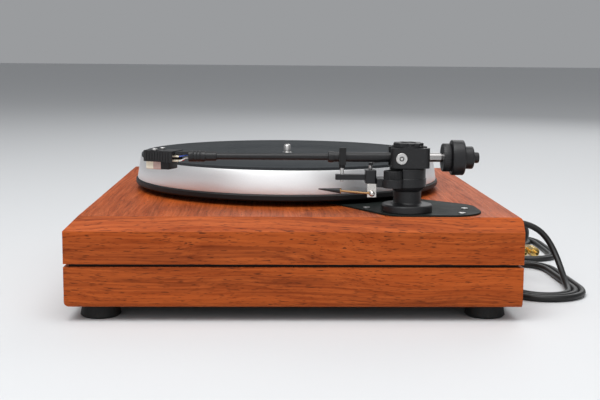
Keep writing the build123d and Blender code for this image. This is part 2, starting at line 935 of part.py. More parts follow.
# ---- turning housing of the arm ----------------------------------------
housing_length_y = housing_front + housing_rear
housing_mid_y = arm_y + (housing_rear - housing_front) / 2
with BuildPart() as yoke_housing:
    with BuildSketch(level(top + housing_bottom)):
        with Locations((arm_x, housing_mid_y)):
            RectangleRounded(2 * housing_half_width, housing_length_y, housing_corner)
    extrude(amount=housing_top - housing_bottom)
    with BuildSketch(level(top + housing_bottom + housing_floor_height)):
        with Locations((arm_x, housing_mid_y)):
            Rectangle(2 * housing_slot, housing_length_y + 1)
    extrude(amount=housing_top, mode=Mode.SUBTRACT)
    with BuildSketch(level(top + housing_bottom)):
        slot_rear = housing_rear - housing_floor_rear
        with Locations((arm_x, arm_y + housing_floor_rear + slot_rear / 2 + 0.5)):
            Rectangle(2 * housing_slot, slot_rear + 1)
    extrude(amount=housing_floor_height, mode=Mode.SUBTRACT)
    with BuildSketch(facing_x(arm_x + housing_half_width)):
        with Locations((lift_pivot_y, arm_axis_z)):
            Circle(pivot_shank_radius)
    extrude(amount=-2 * housing_half_width, mode=Mode.SUBTRACT)
    with BuildSketch(level(top + housing_bottom)):
        with Locations(arm_at):
            Circle(swivel_radius)
    extrude(amount=housing_floor_height, mode=Mode.SUBTRACT)
finish(yoke_housing, "yoke_housing")

with BuildPart() as yoke_spindle:
    with BuildSketch(level(swivel_end)):
        with Locations(arm_at):
            Circle(swivel_radius)
    extrude(amount=top + housing_bottom + housing_floor_height - swivel_end)
finish(yoke_spindle, "yoke_spindle")

with BuildPart() as yoke_cap:
    with BuildSketch(level(top + housing_top)):
        with Locations(arm_at):
            Circle(cap_radius)
    extrude(amount=cap_height)
    with BuildSketch(facing_x(arm_x)):
        with Locations((arm_y, top + housing_top + cap_scoop + cap_floor)):
            Circle(cap_scoop)
    extrude(amount=cap_radius + 1, both=True, mode=Mode.SUBTRACT)
finish(yoke_cap, "yoke_cap")

with BuildPart() as pivot_screws:
    for side in (-1, 1):
        with BuildSketch(facing_x(arm_x + side * housing_half_width)):
            with Locations((lift_pivot_y, arm_axis_z)):
                Circle(pivot_head_radius)
        extrude(amount=side * pivot_head_height)
        with BuildSketch(facing_x(arm_x + side * housing_half_width)):
            with Locations((lift_pivot_y, arm_axis_z)):
                Circle(pivot_shank_radius)
        extrude(amount=-side * (housing_half_width - housing_slot))
        with BuildSketch(facing_x(arm_x + side * housing_slot)):
            with Locations((lift_pivot_y, arm_axis_z)):
                Circle(pivot_tip_radius)
        extrude(amount=-side * (housing_slot - tube_radius - 0.5))
finish(pivot_screws, "pivot_screws")


# ---- arm tube and its weight -------------------------------------------
def along_arm(points):
    """Solid of revolution about the arm's centre line; points are (y, radius)."""
    with BuildPart() as body:
        with BuildSketch(Plane(origin=(arm_x, 0, arm_axis_z), x_dir=(0, 1, 0), z_dir=(1, 0, 0))):
            with BuildLine():
                Polyline(*points, close=True)
            make_face()
        revolve(axis=Axis((arm_x, 0, arm_axis_z), (0, 1, 0)))
    return body


with BuildPart() as arm_cradle:
    with BuildSketch(level(arm_axis_z - cradle_half)):
        with Locations((arm_x, lift_pivot_y)):
            Rectangle(2 * cradle_half, 2 * cradle_half)
    extrude(amount=2 * cradle_half)
    fillet(arm_cradle.edges().filter_by(Axis.X), 2)
    with BuildSketch(facing_y(lift_pivot_y)):
        with Locations((arm_x, arm_axis_z)):
            Circle(tube_radius)
    extrude(amount=cradle_half + 1, both=True, mode=Mode.SUBTRACT)
    with BuildSketch(facing_x(arm_x)):
        with Locations((lift_pivot_y, arm_axis_z)):
            Circle(pivot_tip_radius + swivel_clearance)
    extrude(amount=cradle_half + 1, both=True, mode=Mode.SUBTRACT)
finish(arm_cradle, "arm_cradle")

tube_end = lift_pivot_y + cradle_half
collar_front = tube_front_y - front_collar_length
connector_front = collar_front - connector_length
arm_tube = along_arm(
    [
        (connector_front, tube_bore),
        (connector_front, connector_radius - 0.5),
        (connector_front + 0.5, connector_radius),
        (collar_front, connector_radius),
        (collar_front, front_collar_radius),
        (tube_front_y, front_collar_radius),
        (tube_front_y, tube_thin_radius),
        (tube_step_y - tube_collar_length, tube_thin_radius),
        (tube_step_y - tube_collar_length, tube_radius),
        (tube_step_y - tube_collar_length + 0.8, tube_collar_radius),
        (tube_step_y, tube_collar_radius),
        (tube_step_y, tube_radius),
        (tube_end, tube_radius),
        (tube_end, tube_bore),
    ]
)
finish(arm_tube, "arm_tube")

stub_rear_y = arm_y + stub_end
rear_stub = along_arm(
    [
        (tube_end, 0),
        (tube_end, stub_radius),
        (stub_rear_y, stub_radius),
        (stub_rear_y, 0),
    ]
)
finish(rear_stub, "rear_stub")

dial_y0 = arm_y + dial_front
stub_bore = stub_radius + swivel_clearance
force_dial = along_arm(
    [
        (dial_y0, stub_bore),
        (dial_y0, force_dial_radius - 1),
        (dial_y0 + 1, force_dial_radius),
        (dial_y0 + force_dial_length, force_dial_radius),
        (dial_y0 + force_dial_length, stub_bore),
    ]
)
finish(force_dial, "force_dial")

weight_y0 = dial_y0 + force_dial_length + weight_gap
weight_y1 = weight_y0 + weight_length
weight_y2 = weight_y1 + weight_neck_length
weight_y3 = weight_y2 + weight_tip_length
counterweight = along_arm(
    [
        (weight_y0, stub_bore),
        (weight_y0, weight_radius - 0.8),
        (weight_y0 + 0.8, weight_radius),
        (weight_y1 - 0.8, weight_radius),
        (weight_y1, weight_radius - 0.8),
        (weight_y1, weight_neck_radius),
        (weight_y2 - 0.8, weight_neck_radius),
        (weight_y2, weight_neck_radius - 0.8),
        (weight_y2, weight_tip_radius),
        (weight_y3 - 0.6, weight_tip_radius),
        (weight_y3, weight_tip_radius - 0.6),
        (weight_y3, 0),
        (weight_y3 - 2, 0),
        (weight_y3 - 2, stub_bore),
    ]
)
finish(counterweight, "counterweight")

# ---- headshell ----------------------------------------------------------
turn = math.radians(head_angle)
head_x_dir = (math.cos(turn), -math.sin(turn), 0)
head_screw_spots = [(side * head_screw_spacing / 2, -head_screw_ahead) for side in (-1, 1)]
neck_top = cartridge_bottom + cartridge_neck_height
ear_notch_x = head_screw_spacing / 2 + head_screw_radius
ear_notch_spots = [(side * ear_notch_x, -head_screw_ahead) for side in (-1, 1)]


def head_plane(height):
    """Level plane at the shell's rear edge; its local y points backwards."""
    return Plane(origin=(arm_x, head_rear_y, top + height), x_dir=head_x_dir, z_dir=(0, 0, 1))


with BuildPart() as headshell:
    with BuildSketch(head_plane(shell_top - shell_plate)):
        with Locations((0, -shell_length / 2)):
            Rectangle(2 * shell_half_width, shell_length)
        with Locations(*head_screw_spots):
            slot_width = 2 * (head_screw_radius + head_slot_clearance)
            SlotOverall(head_slot_length, slot_width, rotation=90, mode=Mode.SUBTRACT)
    extrude(amount=shell_plate)
    with BuildSketch(head_plane(shell_top - shell_height)):
        for side in (-1, 1):
            with Locations((side * (shell_half_width - shell_wall / 2), -shell_length / 2)):
                Rectangle(shell_wall, shell_length)
    extrude(amount=shell_height - shell_plate)
    groove_count = int(shell_length / shell_groove_pitch) - 1
    with BuildSketch(head_plane(shell_top - shell_height)):
        for side in (-1, 1):
            with Locations((side * shell_half_width, -shell_length / 2)):
                with GridLocations(1, shell_groove_pitch, 1, groove_count):
                    Rectangle(2 * shell_groove, 1.0)
    extrude(amount=shell_height - 1, mode=Mode.SUBTRACT)
    with BuildSketch(level(top + shell_top - shell_plate)):
        with Locations((arm_x, (head_rear_y + connector_front) / 2)):
            Rectangle(2 * tongue_half_width, connector_front - head_rear_y + 3)
    extrude(amount=shell_plate - 0.5)
    with BuildSketch(facing_y(connector_front + 2)):
        with Locations((arm_x, arm_axis_z)):
            Circle(connector_radius)
    extrude(amount=-4, mode=Mode.SUBTRACT)
    with BuildSketch(facing_y(connector_front)):
        with Locations((arm_x, top + shell_top - shell_plate / 2 - 0.25)):
            Rectangle(40, 8)
    extrude(amount=-4, mode=Mode.SUBTRACT)
finish(headshell, "headshell")

with BuildPart() as cartridge_body:
    with BuildSketch(head_plane(neck_top)):
        with Locations((0, -cartridge_rear - cartridge_length / 2)):
            Rectangle(2 * cartridge_half_width, cartridge_length)
        with Locations(*head_screw_spots):
            Circle(head_screw_radius, mode=Mode.SUBTRACT)
        with Locations(*ear_notch_spots):
            Rectangle(2 * head_screw_radius, 2 * head_screw_radius, mode=Mode.SUBTRACT)
    extrude(amount=shell_top - shell_plate - neck_top)
    with BuildSketch(head_plane(cartridge_bottom)):
        with Locations((0, -cartridge_rear - cartridge_neck_length / 2)):
            neck_width = 2 * (cartridge_half_width - cartridge_neck_inset)
            Rectangle(neck_width, cartridge_neck_length)
    extrude(amount=cartridge_neck_height)
    chamfer(cartridge_body.faces().sort_by(Axis.Z)[0].edges(), 0.5)
finish(cartridge_body, "cartridge_body")

stylus_back = cartridge_rear + cartridge_neck_length
stylus_front = cartridge_rear + cartridge_length + stylus_proud
with BuildPart() as stylus_holder:
    with BuildSketch(head_plane(stylus_bottom)):
        with Locations((0, -(stylus_back + stylus_front) / 2)):
            Rectangle(2 * stylus_half_width, stylus_front - stylus_back)
    extrude(amount=neck_top - stylus_bottom)
    chamfer(stylus_holder.faces().sort_by(Axis.Z)[0].edges(), 0.6)
finish(stylus_holder, "stylus_holder")

with BuildPart() as cantilever:
    rod_back = head_plane(stylus_bottom - 0.05).from_local_coords((0, -stylus_back - 1, 0))
    rod_tip = head_plane(tip_height + 0.35).from_local_coords((0, -stylus_setback, 0))
    with BuildLine():
        rod = Line(rod_back - Vector(0, 0, cantilever_radius), rod_tip)
    with BuildSketch(Plane(origin=rod @ 0, z_dir=rod % 0)):
        Circle(cantilever_radius * 0.7)
    sweep()
    with BuildSketch(head_plane(tip_height)):
        with Locations((0, -stylus_setback)):
            Circle(0.35)
    extrude(amount=stylus_bottom - tip_height)
finish(cantilever, "cantilever")

with BuildPart() as headshell_screws:
    for spot in head_screw_spots:
        with BuildSketch(head_plane(neck_top)):
            with Locations(spot):
                Circle(head_screw_radius)
        extrude(amount=shell_top - neck_top)
        with BuildSketch(head_plane(shell_top)):
            with Locations(spot):
                Circle(head_screw_head)
        extrude(amount=head_screw_head_height)
finish(headshell_screws, "headshell_screws")

pin_height = shell_top - shell_plate - pin_below_plate
with BuildPart() as head_wires:
    for across in (-1, 1):
        for row in (0, 1):
            plane = head_plane(pin_height - row * wire_drop)
            sleeve_end = sleeve_length - cartridge_rear
            start = plane.from_local_coords((across * wire_spread, sleeve_end, 0))
            rise = 0.9 - row * 2.4
            end = Vector(arm_x + across * 1.3, connector_front, arm_axis_z + rise)
            back = plane.from_local_coords((across * wire_spread, -cartridge_rear, 0))
            with BuildLine():
                sleeve = Line(back, start)
            with BuildSketch(Plane(origin=sleeve @ 0, z_dir=sleeve % 0)):
                Circle(sleeve_radius)
            sweep()
            way = (start - back).normalized()
            with BuildLine():
                ahead_of_end = end - Vector(0, 2, 0)
                wire = FilletPolyline(start, start + way * 2, ahead_of_end, end, radius=1.0)
            with BuildSketch(Plane(origin=wire @ 0, z_dir=wire % 0)):
                Circle(wire_radius)
            sweep()
finish(head_wires, "head_wires")

# ---- arm lift, cue lever and rest --------------------------------------
lifter_rear = arm_y - bracket_front
lifter_front = lifter_rear - lifter_length
lift_pin_y = (lifter_rear + lifter_front) / 2
with BuildPart() as lift_cylinder:
    with BuildSketch(level(top + lifter_bottom)):
        with Locations((arm_x + (lifter_right - lifter_left) / 2, lift_pin_y)):
            RectangleRounded(lifter_left + lifter_right, lifter_length, 1.5)
    extrude(amount=lifter_top - lifter_bottom)
    with BuildSketch(level(top + lifter_top - lift_hole_depth)):
        with Locations((arm_x, lift_pin_y)):
            Circle(lift_pin_radius + lift_pin_clearance)
    extrude(amount=lift_hole_depth, mode=Mode.SUBTRACT)
finish(lift_cylinder, "lift_cylinder")

arc_radius = arm_y - lift_pin_y
arc_top = arm_axis_z - tube_radius - lift_arc_gap
arc_start = 270 - lift_arc_inward
arc_span = lift_arc_inward + lift_arc_outward
with BuildPart() as lift_bar:
    with BuildSketch(level(arc_top - lift_arc_thickness)):
        with BuildLine():
            middle = CenterArc((arm_x, arm_y), arc_radius, arc_start, arc_span)
            offset(middle, amount=lift_arc_width / 2, side=Side.BOTH)
        make_face()
    extrude(amount=lift_arc_thickness)
    with BuildSketch(level(top + lifter_top - lift_pin_depth)):
        with Locations((arm_x, lift_pin_y)):
            Circle(lift_pin_radius)
    extrude(amount=arc_top - lift_arc_thickness - top - lifter_top + lift_pin_depth)
finish(lift_bar, "lift_bar")

bar_bottom = top + rest_bar_bottom
with BuildPart() as rest_bar:
    with BuildSketch(level(bar_bottom)):
        with Locations((arm_x, lifter_front - rest_bar_length / 2)):
            Rectangle(2 * rest_bar_half_width, rest_bar_length)
        with Locations((arm_x, rest_post_y)):
            Circle(rest_post_radius, mode=Mode.SUBTRACT)
    extrude(amount=rest_bar_thickness)
    fillet(rest_bar.edges().filter_by(Axis.Z).sort_by(Axis.Y)[:2], 1.5)
finish(rest_bar, "rest_bar")

clip_floor = arm_axis_z - tube_radius - clip_gap
with BuildPart() as rest_post:
    with BuildSketch(level(top + rest_post_foot)):
        with Locations((arm_x, rest_post_y)):
            Circle(rest_post_radius)
    extrude(amount=clip_floor - clip_plate - top - rest_post_foot)
finish(rest_post, "rest_post")

with BuildPart() as rest_clip:
    prong = arm_x + tube_radius + clip_gap
    with BuildSketch(facing_y(rest_post_y + clip_length / 2)):
        with BuildLine():
            Polyline(
                (arm_x - 2.5, clip_floor - clip_plate),
                (prong + clip_wall, clip_floor - clip_plate),
                (prong + clip_wall, top + clip_top),
                (prong, top + clip_top),
                (prong, clip_floor),
                (arm_x - clip_lip, clip_floor),
                (arm_x - clip_lip, clip_floor - clip_lip_drop),
                close=True,
            )
        make_face()
    extrude(amount=clip_length)
    with BuildSketch(level(clip_floor - clip_plate - clip_foot)):
        with Locations((arm_x, rest_post_y)):
            Circle(rest_post_radius + clip_foot_wall)
            Circle(rest_post_radius, mode=Mode.SUBTRACT)
    extrude(amount=clip_foot)
finish(rest_clip, "rest_clip")

pivot_y = arm_y - lever_pivot_ahead
pivot_z = top + lever_pivot_height
with BuildPart() as cue_lever:
    with Locations((arm_x + lever_x, pivot_y, pivot_z)):
        Sphere(lever_ball_radius)
    slope = math.radians(lever_rise)
    ahead = Vector(0, -math.cos(slope), math.sin(slope))
    pivot_point = Vector(arm_x + lever_x, pivot_y, pivot_z)
    tip_start = pivot_point + ahead * lever_rod_length
    with BuildSketch(Plane(origin=pivot_point, x_dir=(1, 0, 0), z_dir=ahead)):
        Circle(lever_rod_radius)
    extrude(amount=lever_rod_length)
    with BuildSketch(Plane(origin=tip_start, x_dir=(1, 0, 0), z_dir=ahead)):
        Circle(lever_tip_radius)
    tip_end = tip_start + ahead * lever_tip_length
    with BuildSketch(Plane(origin=tip_end, x_dir=(1, 0, 0), z_dir=ahead)):
        Circle(lever_end_radius)
    loft()
    with BuildSketch(facing_x(arm_x + lever_x)):
        with Locations((pivot_y, pivot_z)):
            Circle(lever_pin_radius)
    extrude(amount=-(lever_ball_radius + lever_ball_gap + yoke_strap))
finish(cue_lever, "cue_lever")

with BuildPart() as cue_bracket:
    strap_x = arm_x + lever_x - lever_ball_radius - lever_ball_gap - yoke_strap
    strap_top = top + lifter_bottom
    with BuildSketch(facing_x(strap_x)):
        with Locations((pivot_y, (strap_top + top + yoke_drop) / 2)):
            Rectangle(yoke_strap_width, strap_top - top - yoke_drop)
        with Locations((pivot_y, pivot_z)):
            Circle(lever_pin_radius + lever_pin_clearance, mode=Mode.SUBTRACT)
    extrude(amount=yoke_strap)
    with BuildSketch(level(strap_top - yoke_strap)):
        with Locations(((strap_x + arm_x - lifter_left) / 2, pivot_y)):
            Rectangle(strap_x - arm_x + lifter_left, yoke_strap_width)
    extrude(amount=yoke_strap)
finish(cue_bracket, "cue_bracket")


# ---- leads --------------------------------------------------------------
def corner_radii(route):
    """Arc radius at each corner: 0.45 of the shorter run over tan(half turn)."""
    radii = []
    points = [Vector(*p) for p in route]
    for before, here, after in zip(points, points[1:], points[2:]):
        shorter = min((here - before).length, (after - here).length)
        turn_angle = (here - before).get_angle(after - here)
        radii.append(0.45 * shorter / math.tan(math.radians(turn_angle / 2)))
    return radii


def lead(route, radius, name):
    """Tube of straight runs joined by tangent arcs along a route."""
    radii = corner_radii(route)
    with BuildPart() as tube:
        with BuildLine():
            path = FilletPolyline(*route, radius=radii)
        with BuildSketch(Plane(origin=path @ 0, z_dir=path % 0)):
            Circle(radius)
        sweep()
    expected = math.pi * radius ** 2 * path.length
    print(name, "radii", [round(r, 1) for r in radii], "length", round(path.length, 1))
    print(name, "volume ratio", round(tube.part.volume / expected, 4))
    return tube


def loose_coil(centre_x, centre_y, half_long, half_short, band, radius):
    """Closed ring that holds the turns of a long round-ended coil, side by side."""
    with BuildPart() as coil:
        with BuildSketch(level(coil_lift)):
            with Locations((centre_x, centre_y)):
                SlotOverall(2 * half_long + band, 2 * half_short + band)
                SlotOverall(2 * half_long - band, 2 * half_short - band, mode=Mode.SUBTRACT)
        extrude(amount=2 * radius)
    return coil


def gland(x, length, radius):
    """Flanged sleeve through the rear wall, tapered towards its lead."""
    with BuildPart() as sleeve:
        with BuildSketch(facing_y(rear_face - wall)):
            with Locations((x, lead_height)):
                Circle(gland_sleeve_radius)
        extrude(amount=-wall)
        with BuildSketch(facing_y(rear_face)):
            with Locations((x, lead_height)):
                Circle(gland_flange_radius)
        extrude(amount=-gland_flange)
        with BuildSketch(facing_y(rear_face + gland_flange)):
            with Locations((x, lead_height)):
                Circle(gland_taper_radius)
        with BuildSketch(facing_y(rear_face + length)):
            with Locations((x, lead_height)):
                Circle(radius + gland_lip)
        loft()
    return sleeve


finish(gland(signal_x, signal_gland_length, signal_radius), "signal_gland")
finish(gland(mains_x, mains_gland_length, mains_radius), "mains_gland")
signal_lead = lead(signal_route, signal_radius, "signal_lead")
signal_end = lead(signal_tail, signal_radius, "signal_tail")
mains_lead = lead(mains_route, mains_radius, "mains_lead")
mains_end = lead(mains_tail, mains_radius, "mains_tail")
with BuildPart() as signal_tubes:
    add(signal_lead.part)
    add(signal_end.part)
finish(signal_tubes, "signal_lead")
with BuildPart() as mains_tubes:
    add(mains_lead.part)
    add(mains_end.part)
finish(mains_tubes, "mains_lead")
signal_coil = loose_coil(
    signal_coil_x,
    signal_coil_y,
    signal_coil_long,
    signal_coil_short,
    signal_coil_band,
    signal_radius,
)
finish(signal_coil, "signal_coil")
mains_coil = loose_coil(
    mains_coil_x,
    mains_coil_y,
    mains_coil_long,
    mains_coil_short,
    mains_coil_band,
    mains_radius,
)
finish(mains_coil, "mains_coil")

plug_x, plug_y, plug_z = signal_tail[-1]
with BuildPart() as phono_plugs:
    block = Plane(origin=(plug_x, plug_y, plug_z - splitter_drop), x_dir=(0, 1, 0), z_dir=(1, 0, 0))
    with BuildSketch(block):
        RectangleRounded(phono_pitch + 2 * phono_radius, splitter_height, 3)
    extrude(amount=splitter_length)
    for side in (-1, 1):
        axis_y = plug_y + side * phono_pitch / 2
        shell_at = (plug_x + splitter_length, axis_y, phono_radius + phono_lift)
        shell = Plane(origin=shell_at, x_dir=(0, 1, 0), z_dir=(1, 0, 0))
        with BuildSketch(shell):
            Circle(phono_radius)
        extrude(amount=phono_shell)
        with BuildSketch(shell.offset(phono_shell)):
            Circle(phono_pin_radius)
        extrude(amount=phono_pin)
finish(phono_plugs, "phono_plugs")

mains_end_x, mains_end_y, mains_end_z = mains_tail[-1]
with BuildPart() as mains_plug:
    plug_back = (mains_end_x, mains_end_y, mains_plug_height / 2)
    plug_plane = Plane(origin=plug_back, x_dir=(0, 1, 0), z_dir=(-1, 0, 0))
    with BuildSketch(plug_plane):
        RectangleRounded(mains_plug_neck_width, mains_plug_neck_height, 3)
    with BuildSketch(plug_plane.offset(mains_plug_length)):
        RectangleRounded(mains_plug_width, mains_plug_height, 4)
    loft()
    with BuildSketch(plug_plane.offset(mains_plug_length)):
        with GridLocations(mains_pin_pitch, 1, 2, 1):
            Circle(mains_pin_radius)
    extrude(amount=mains_pin_length)
finish(mains_plug, "mains_plug")

# ---- export -------------------------------------------------------------
os.makedirs("parts", exist_ok=True)
for piece in parts:
    export_step(piece, "parts/" + piece.label + ".step")
print(len(parts), "nodes, plinth top at", top)
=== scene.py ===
"""Finishes, fine pieces, leads and studio of a wooden belt-drive record player.

Lengths in the dataclass fields are millimetres unless a name says otherwise.
"""
import json
import logging
import math
from dataclasses import dataclass, field
from enum import Enum

import bmesh
import bpy
from mathutils import Matrix, Vector


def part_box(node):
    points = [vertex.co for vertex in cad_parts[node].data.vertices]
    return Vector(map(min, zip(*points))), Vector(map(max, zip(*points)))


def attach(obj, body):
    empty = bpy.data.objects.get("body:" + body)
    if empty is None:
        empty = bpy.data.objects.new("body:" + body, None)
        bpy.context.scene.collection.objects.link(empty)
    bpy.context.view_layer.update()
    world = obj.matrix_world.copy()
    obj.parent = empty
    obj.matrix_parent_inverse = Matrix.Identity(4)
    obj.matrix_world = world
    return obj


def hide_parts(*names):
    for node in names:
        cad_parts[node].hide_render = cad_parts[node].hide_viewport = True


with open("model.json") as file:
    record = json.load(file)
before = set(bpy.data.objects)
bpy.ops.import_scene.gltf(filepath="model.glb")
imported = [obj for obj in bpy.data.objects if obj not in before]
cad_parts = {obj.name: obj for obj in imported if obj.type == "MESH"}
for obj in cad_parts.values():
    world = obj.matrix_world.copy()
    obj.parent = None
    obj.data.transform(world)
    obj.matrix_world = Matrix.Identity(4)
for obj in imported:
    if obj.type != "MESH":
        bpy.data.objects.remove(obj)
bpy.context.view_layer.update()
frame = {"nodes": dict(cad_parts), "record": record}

MM = 0.001
log = logging.getLogger("record_player")

Colour = tuple[float, float, float]
Point = tuple[float, float, float]
Profile = list[tuple[float, float]]


class Axis(Enum):
    """Direction of a turned piece's centre line, with the turn that lays Z along it."""

    UP = 0.0
    REAR = -90.0

    def turn(self) -> Matrix:
        """Rotation that carries +Z to this direction."""
        return Matrix.Rotation(math.radians(self.value), 4, "X")


class Grain(Enum):
    """Run of the wood's fibres, as a turn about Z in degrees."""

    ACROSS = 0.0
    ALONG = 90.0


# ---- shader node groups ---------------------------------------------------
class Sheet:
    """A node tree being wired up."""

    def __init__(self, tree: bpy.types.NodeTree) -> None:
        """Keep the tree.

        Args:
            tree: Node tree of a material or of a group.
        """
        self.tree = tree

    def add(self, kind: str, **values: object) -> bpy.types.Node:
        """Add a node and set its inputs or properties.

        Args:
            kind: Node type, such as ShaderNodeMath.
            **values: Node properties by name, or inputs by name with spaces as underscores.

        Returns:
            The new node.
        """
        node = self.tree.nodes.new(kind)
        for name, value in values.items():
            if hasattr(node, name):
                setattr(node, name, value)
            else:
                node.inputs[name.replace("_", " ")].default_value = value
        return node

    def link(self, source: bpy.types.NodeSocket, target: bpy.types.NodeSocket) -> None:
        """Join an output to an input."""
        self.tree.links.new(source, target)

    def maths(self, operation: str, first: object, second: object = 0.0) -> bpy.types.NodeSocket:
        """Add a maths node.

        Args:
            operation: Blender's name of the operation.
            first: Socket or number.
            second: Socket or number.

        Returns:
            The result's socket.
        """
        node = self.add("ShaderNodeMath", operation=operation)
        for place, value in enumerate((first, second)):
            if isinstance(value, bpy.types.NodeSocket):
                self.link(value, node.inputs[place])
            else:
                node.inputs[place].default_value = value
        return node.outputs[0]

    def spread(
        self, value: bpy.types.NodeSocket, low: float, high: float, start: float, end: float
    ) -> bpy.types.NodeSocket:
        """Map a range of values onto another, and clamp it.

        Args:
            value: Socket to map.
            low: Value that becomes start.
            high: Value that becomes end.
            start: Result at low.
            end: Result at high.

        Returns:
            The mapped value's socket.
        """
        node = self.add("ShaderNodeMapRange", From_Min=low, From_Max=high, To_Min=start, To_Max=end)
        self.link(value, node.inputs["Value"])
        return node.outputs["Result"]

    def noise(self, vector: bpy.types.NodeSocket, scale: Point, detail: float) -> bpy.types.NodeSocket:
        """Add stretched noise.

        Args:
            vector: Position in metres.
            scale: Cycles per metre along each axis.
            detail: Octaves.

        Returns:
            The noise value's socket.
        """
        stretch = self.add("ShaderNodeVectorMath", operation="MULTIPLY")
        stretch.inputs[1].default_value = scale
        self.link(vector, stretch.inputs[0])
        node = self.add("ShaderNodeTexNoise", Scale=1.0, Detail=detail, Roughness=0.6)
        self.link(stretch.outputs[0], node.inputs["Vector"])
        return node.outputs[0]

    def blend(
        self, mask: bpy.types.NodeSocket, first: object, second: object
    ) -> bpy.types.NodeSocket:
        """Mix two colours.

        Args:
            mask: Share of the second colour.
            first: Socket or colour.
            second: Socket or colour.

        Returns:
            The mixed colour's socket.
        """
        node = self.add("ShaderNodeMix", data_type="RGBA")
        self.link(mask, node.inputs[0])
        for place, value in ((6, first), (7, second)):
            if isinstance(value, bpy.types.NodeSocket):
                self.link(value, node.inputs[place])
            else:
                node.inputs[place].default_value = (*value, 1.0)
        return node.outputs[2]


class Effects:
    """Shared surface effects, each a node group that is built once."""

    made: dict[str, bpy.types.NodeTree] = {}

    @classmethod
    def start(cls, name: str, outputs: list[str], extra: list[str]) -> tuple[Sheet, dict, dict]:
        """Begin a group with a Vector input.

        Args:
            name: The group's name.
            outputs: Names of its value outputs.
            extra: Names of further value inputs.

        Returns:
            The sheet, its input sockets by name and its output sockets by name.
        """
        tree = bpy.data.node_groups.new(name, "ShaderNodeTree")
        tree.interface.new_socket("Vector", in_out="INPUT", socket_type="NodeSocketVector")
        for word in extra:
            tree.interface.new_socket(word, in_out="INPUT", socket_type="NodeSocketFloat")
        for word in outputs:
            tree.interface.new_socket(word, in_out="OUTPUT", socket_type="NodeSocketFloat")
        sheet = Sheet(tree)
        entry = sheet.add("NodeGroupInput")
        leave = sheet.add("NodeGroupOutput")
        cls.made[name] = tree
        inputs = {word: entry.outputs[word] for word in ["Vector", *extra]}
        return sheet, inputs, {word: leave.inputs[word] for word in outputs}

    @classmethod
    def wood_grain(cls) -> bpy.types.NodeTree:
        """Fibres, broad bands and dark pores that run along X."""
        if "wood_grain" in cls.made:
            return cls.made["wood_grain"]
        sheet, inputs, outputs = cls.start("wood_grain", ["Fibres", "Bands", "Pores"], [])
        vector = inputs["Vector"]
        wander = sheet.noise(vector, (4.0, 14.0, 14.0), 2.0)
        shift = sheet.add("ShaderNodeCombineXYZ")
        sheet.link(sheet.maths("MULTIPLY", wander, 0.03), shift.inputs["Y"])
        sheet.link(sheet.maths("MULTIPLY", wander, 0.03), shift.inputs["Z"])
        bent = sheet.add("ShaderNodeVectorMath", operation="ADD")
        sheet.link(vector, bent.inputs[0])
        sheet.link(shift.outputs[0], bent.inputs[1])
        warped = bent.outputs[0]
        sheet.link(sheet.noise(warped, (9.0, 420.0, 420.0), 4.0), outputs["Fibres"])
        sheet.link(sheet.noise(warped, (2.5, 55.0, 55.0), 3.0), outputs["Bands"])
        pores = sheet.noise(warped, (110.0, 1500.0, 1500.0), 1.0)
        sheet.link(sheet.spread(pores, 0.60, 0.68, 0.0, 1.0), outputs["Pores"])
        return cls.made["wood_grain"]

    @classmethod
    def speckle(cls) -> bpy.types.NodeTree:
        """Fine even grain of a moulded, cast or painted face."""
        if "speckle" in cls.made:
            return cls.made["speckle"]
        sheet, inputs, outputs = cls.start("speckle", ["Grain", "Clouds"], ["Scale"])
        fine = sheet.add("ShaderNodeTexNoise", Detail=2.0, Roughness=0.7)
        sheet.link(inputs["Vector"], fine.inputs["Vector"])
        sheet.link(inputs["Scale"], fine.inputs["Scale"])
        sheet.link(fine.outputs[0], outputs["Grain"])
        sheet.link(sheet.noise(inputs["Vector"], (45.0, 45.0, 45.0), 4.0), outputs["Clouds"])
        return cls.made["speckle"]

    @classmethod
    def turned_marks(cls) -> bpy.types.NodeTree:
        """Fine rings round Z that a lathe tool leaves."""
        if "turned_marks" in cls.made:
            return cls.made["turned_marks"]
        sheet, inputs, outputs = cls.start("turned_marks", ["Rings"], ["Per Metre"])
        parts = sheet.add("ShaderNodeSeparateXYZ")
        sheet.link(inputs["Vector"], parts.inputs[0])
        across = sheet.maths("MULTIPLY", parts.outputs[0], parts.outputs[0])
        square = sheet.maths("ADD", across, sheet.maths("MULTIPLY", parts.outputs[1], parts.outputs[1]))
        reach = sheet.maths("ADD", sheet.maths("SQRT", square), parts.outputs[2])
        line = sheet.add("ShaderNodeTexNoise", noise_dimensions="1D", Scale=1.0, Detail=3.0)
        sheet.link(sheet.maths("MULTIPLY", reach, inputs["Per Metre"]), line.inputs["W"])
        sheet.link(line.outputs[0], outputs["Rings"])
        return cls.made["turned_marks"]

    @classmethod
    def dust(cls) -> bpy.types.NodeTree:
        """Sparse pale specks."""
        if "dust" in cls.made:
            return cls.made["dust"]
        sheet, inputs, outputs = cls.start("dust", ["Specks"], [])
        specks = sheet.noise(inputs["Vector"], (900.0, 900.0, 900.0), 1.0)
        sheet.link(sheet.spread(specks, 0.70, 0.76, 0.0, 1.0), outputs["Specks"])
        return cls.made["dust"]


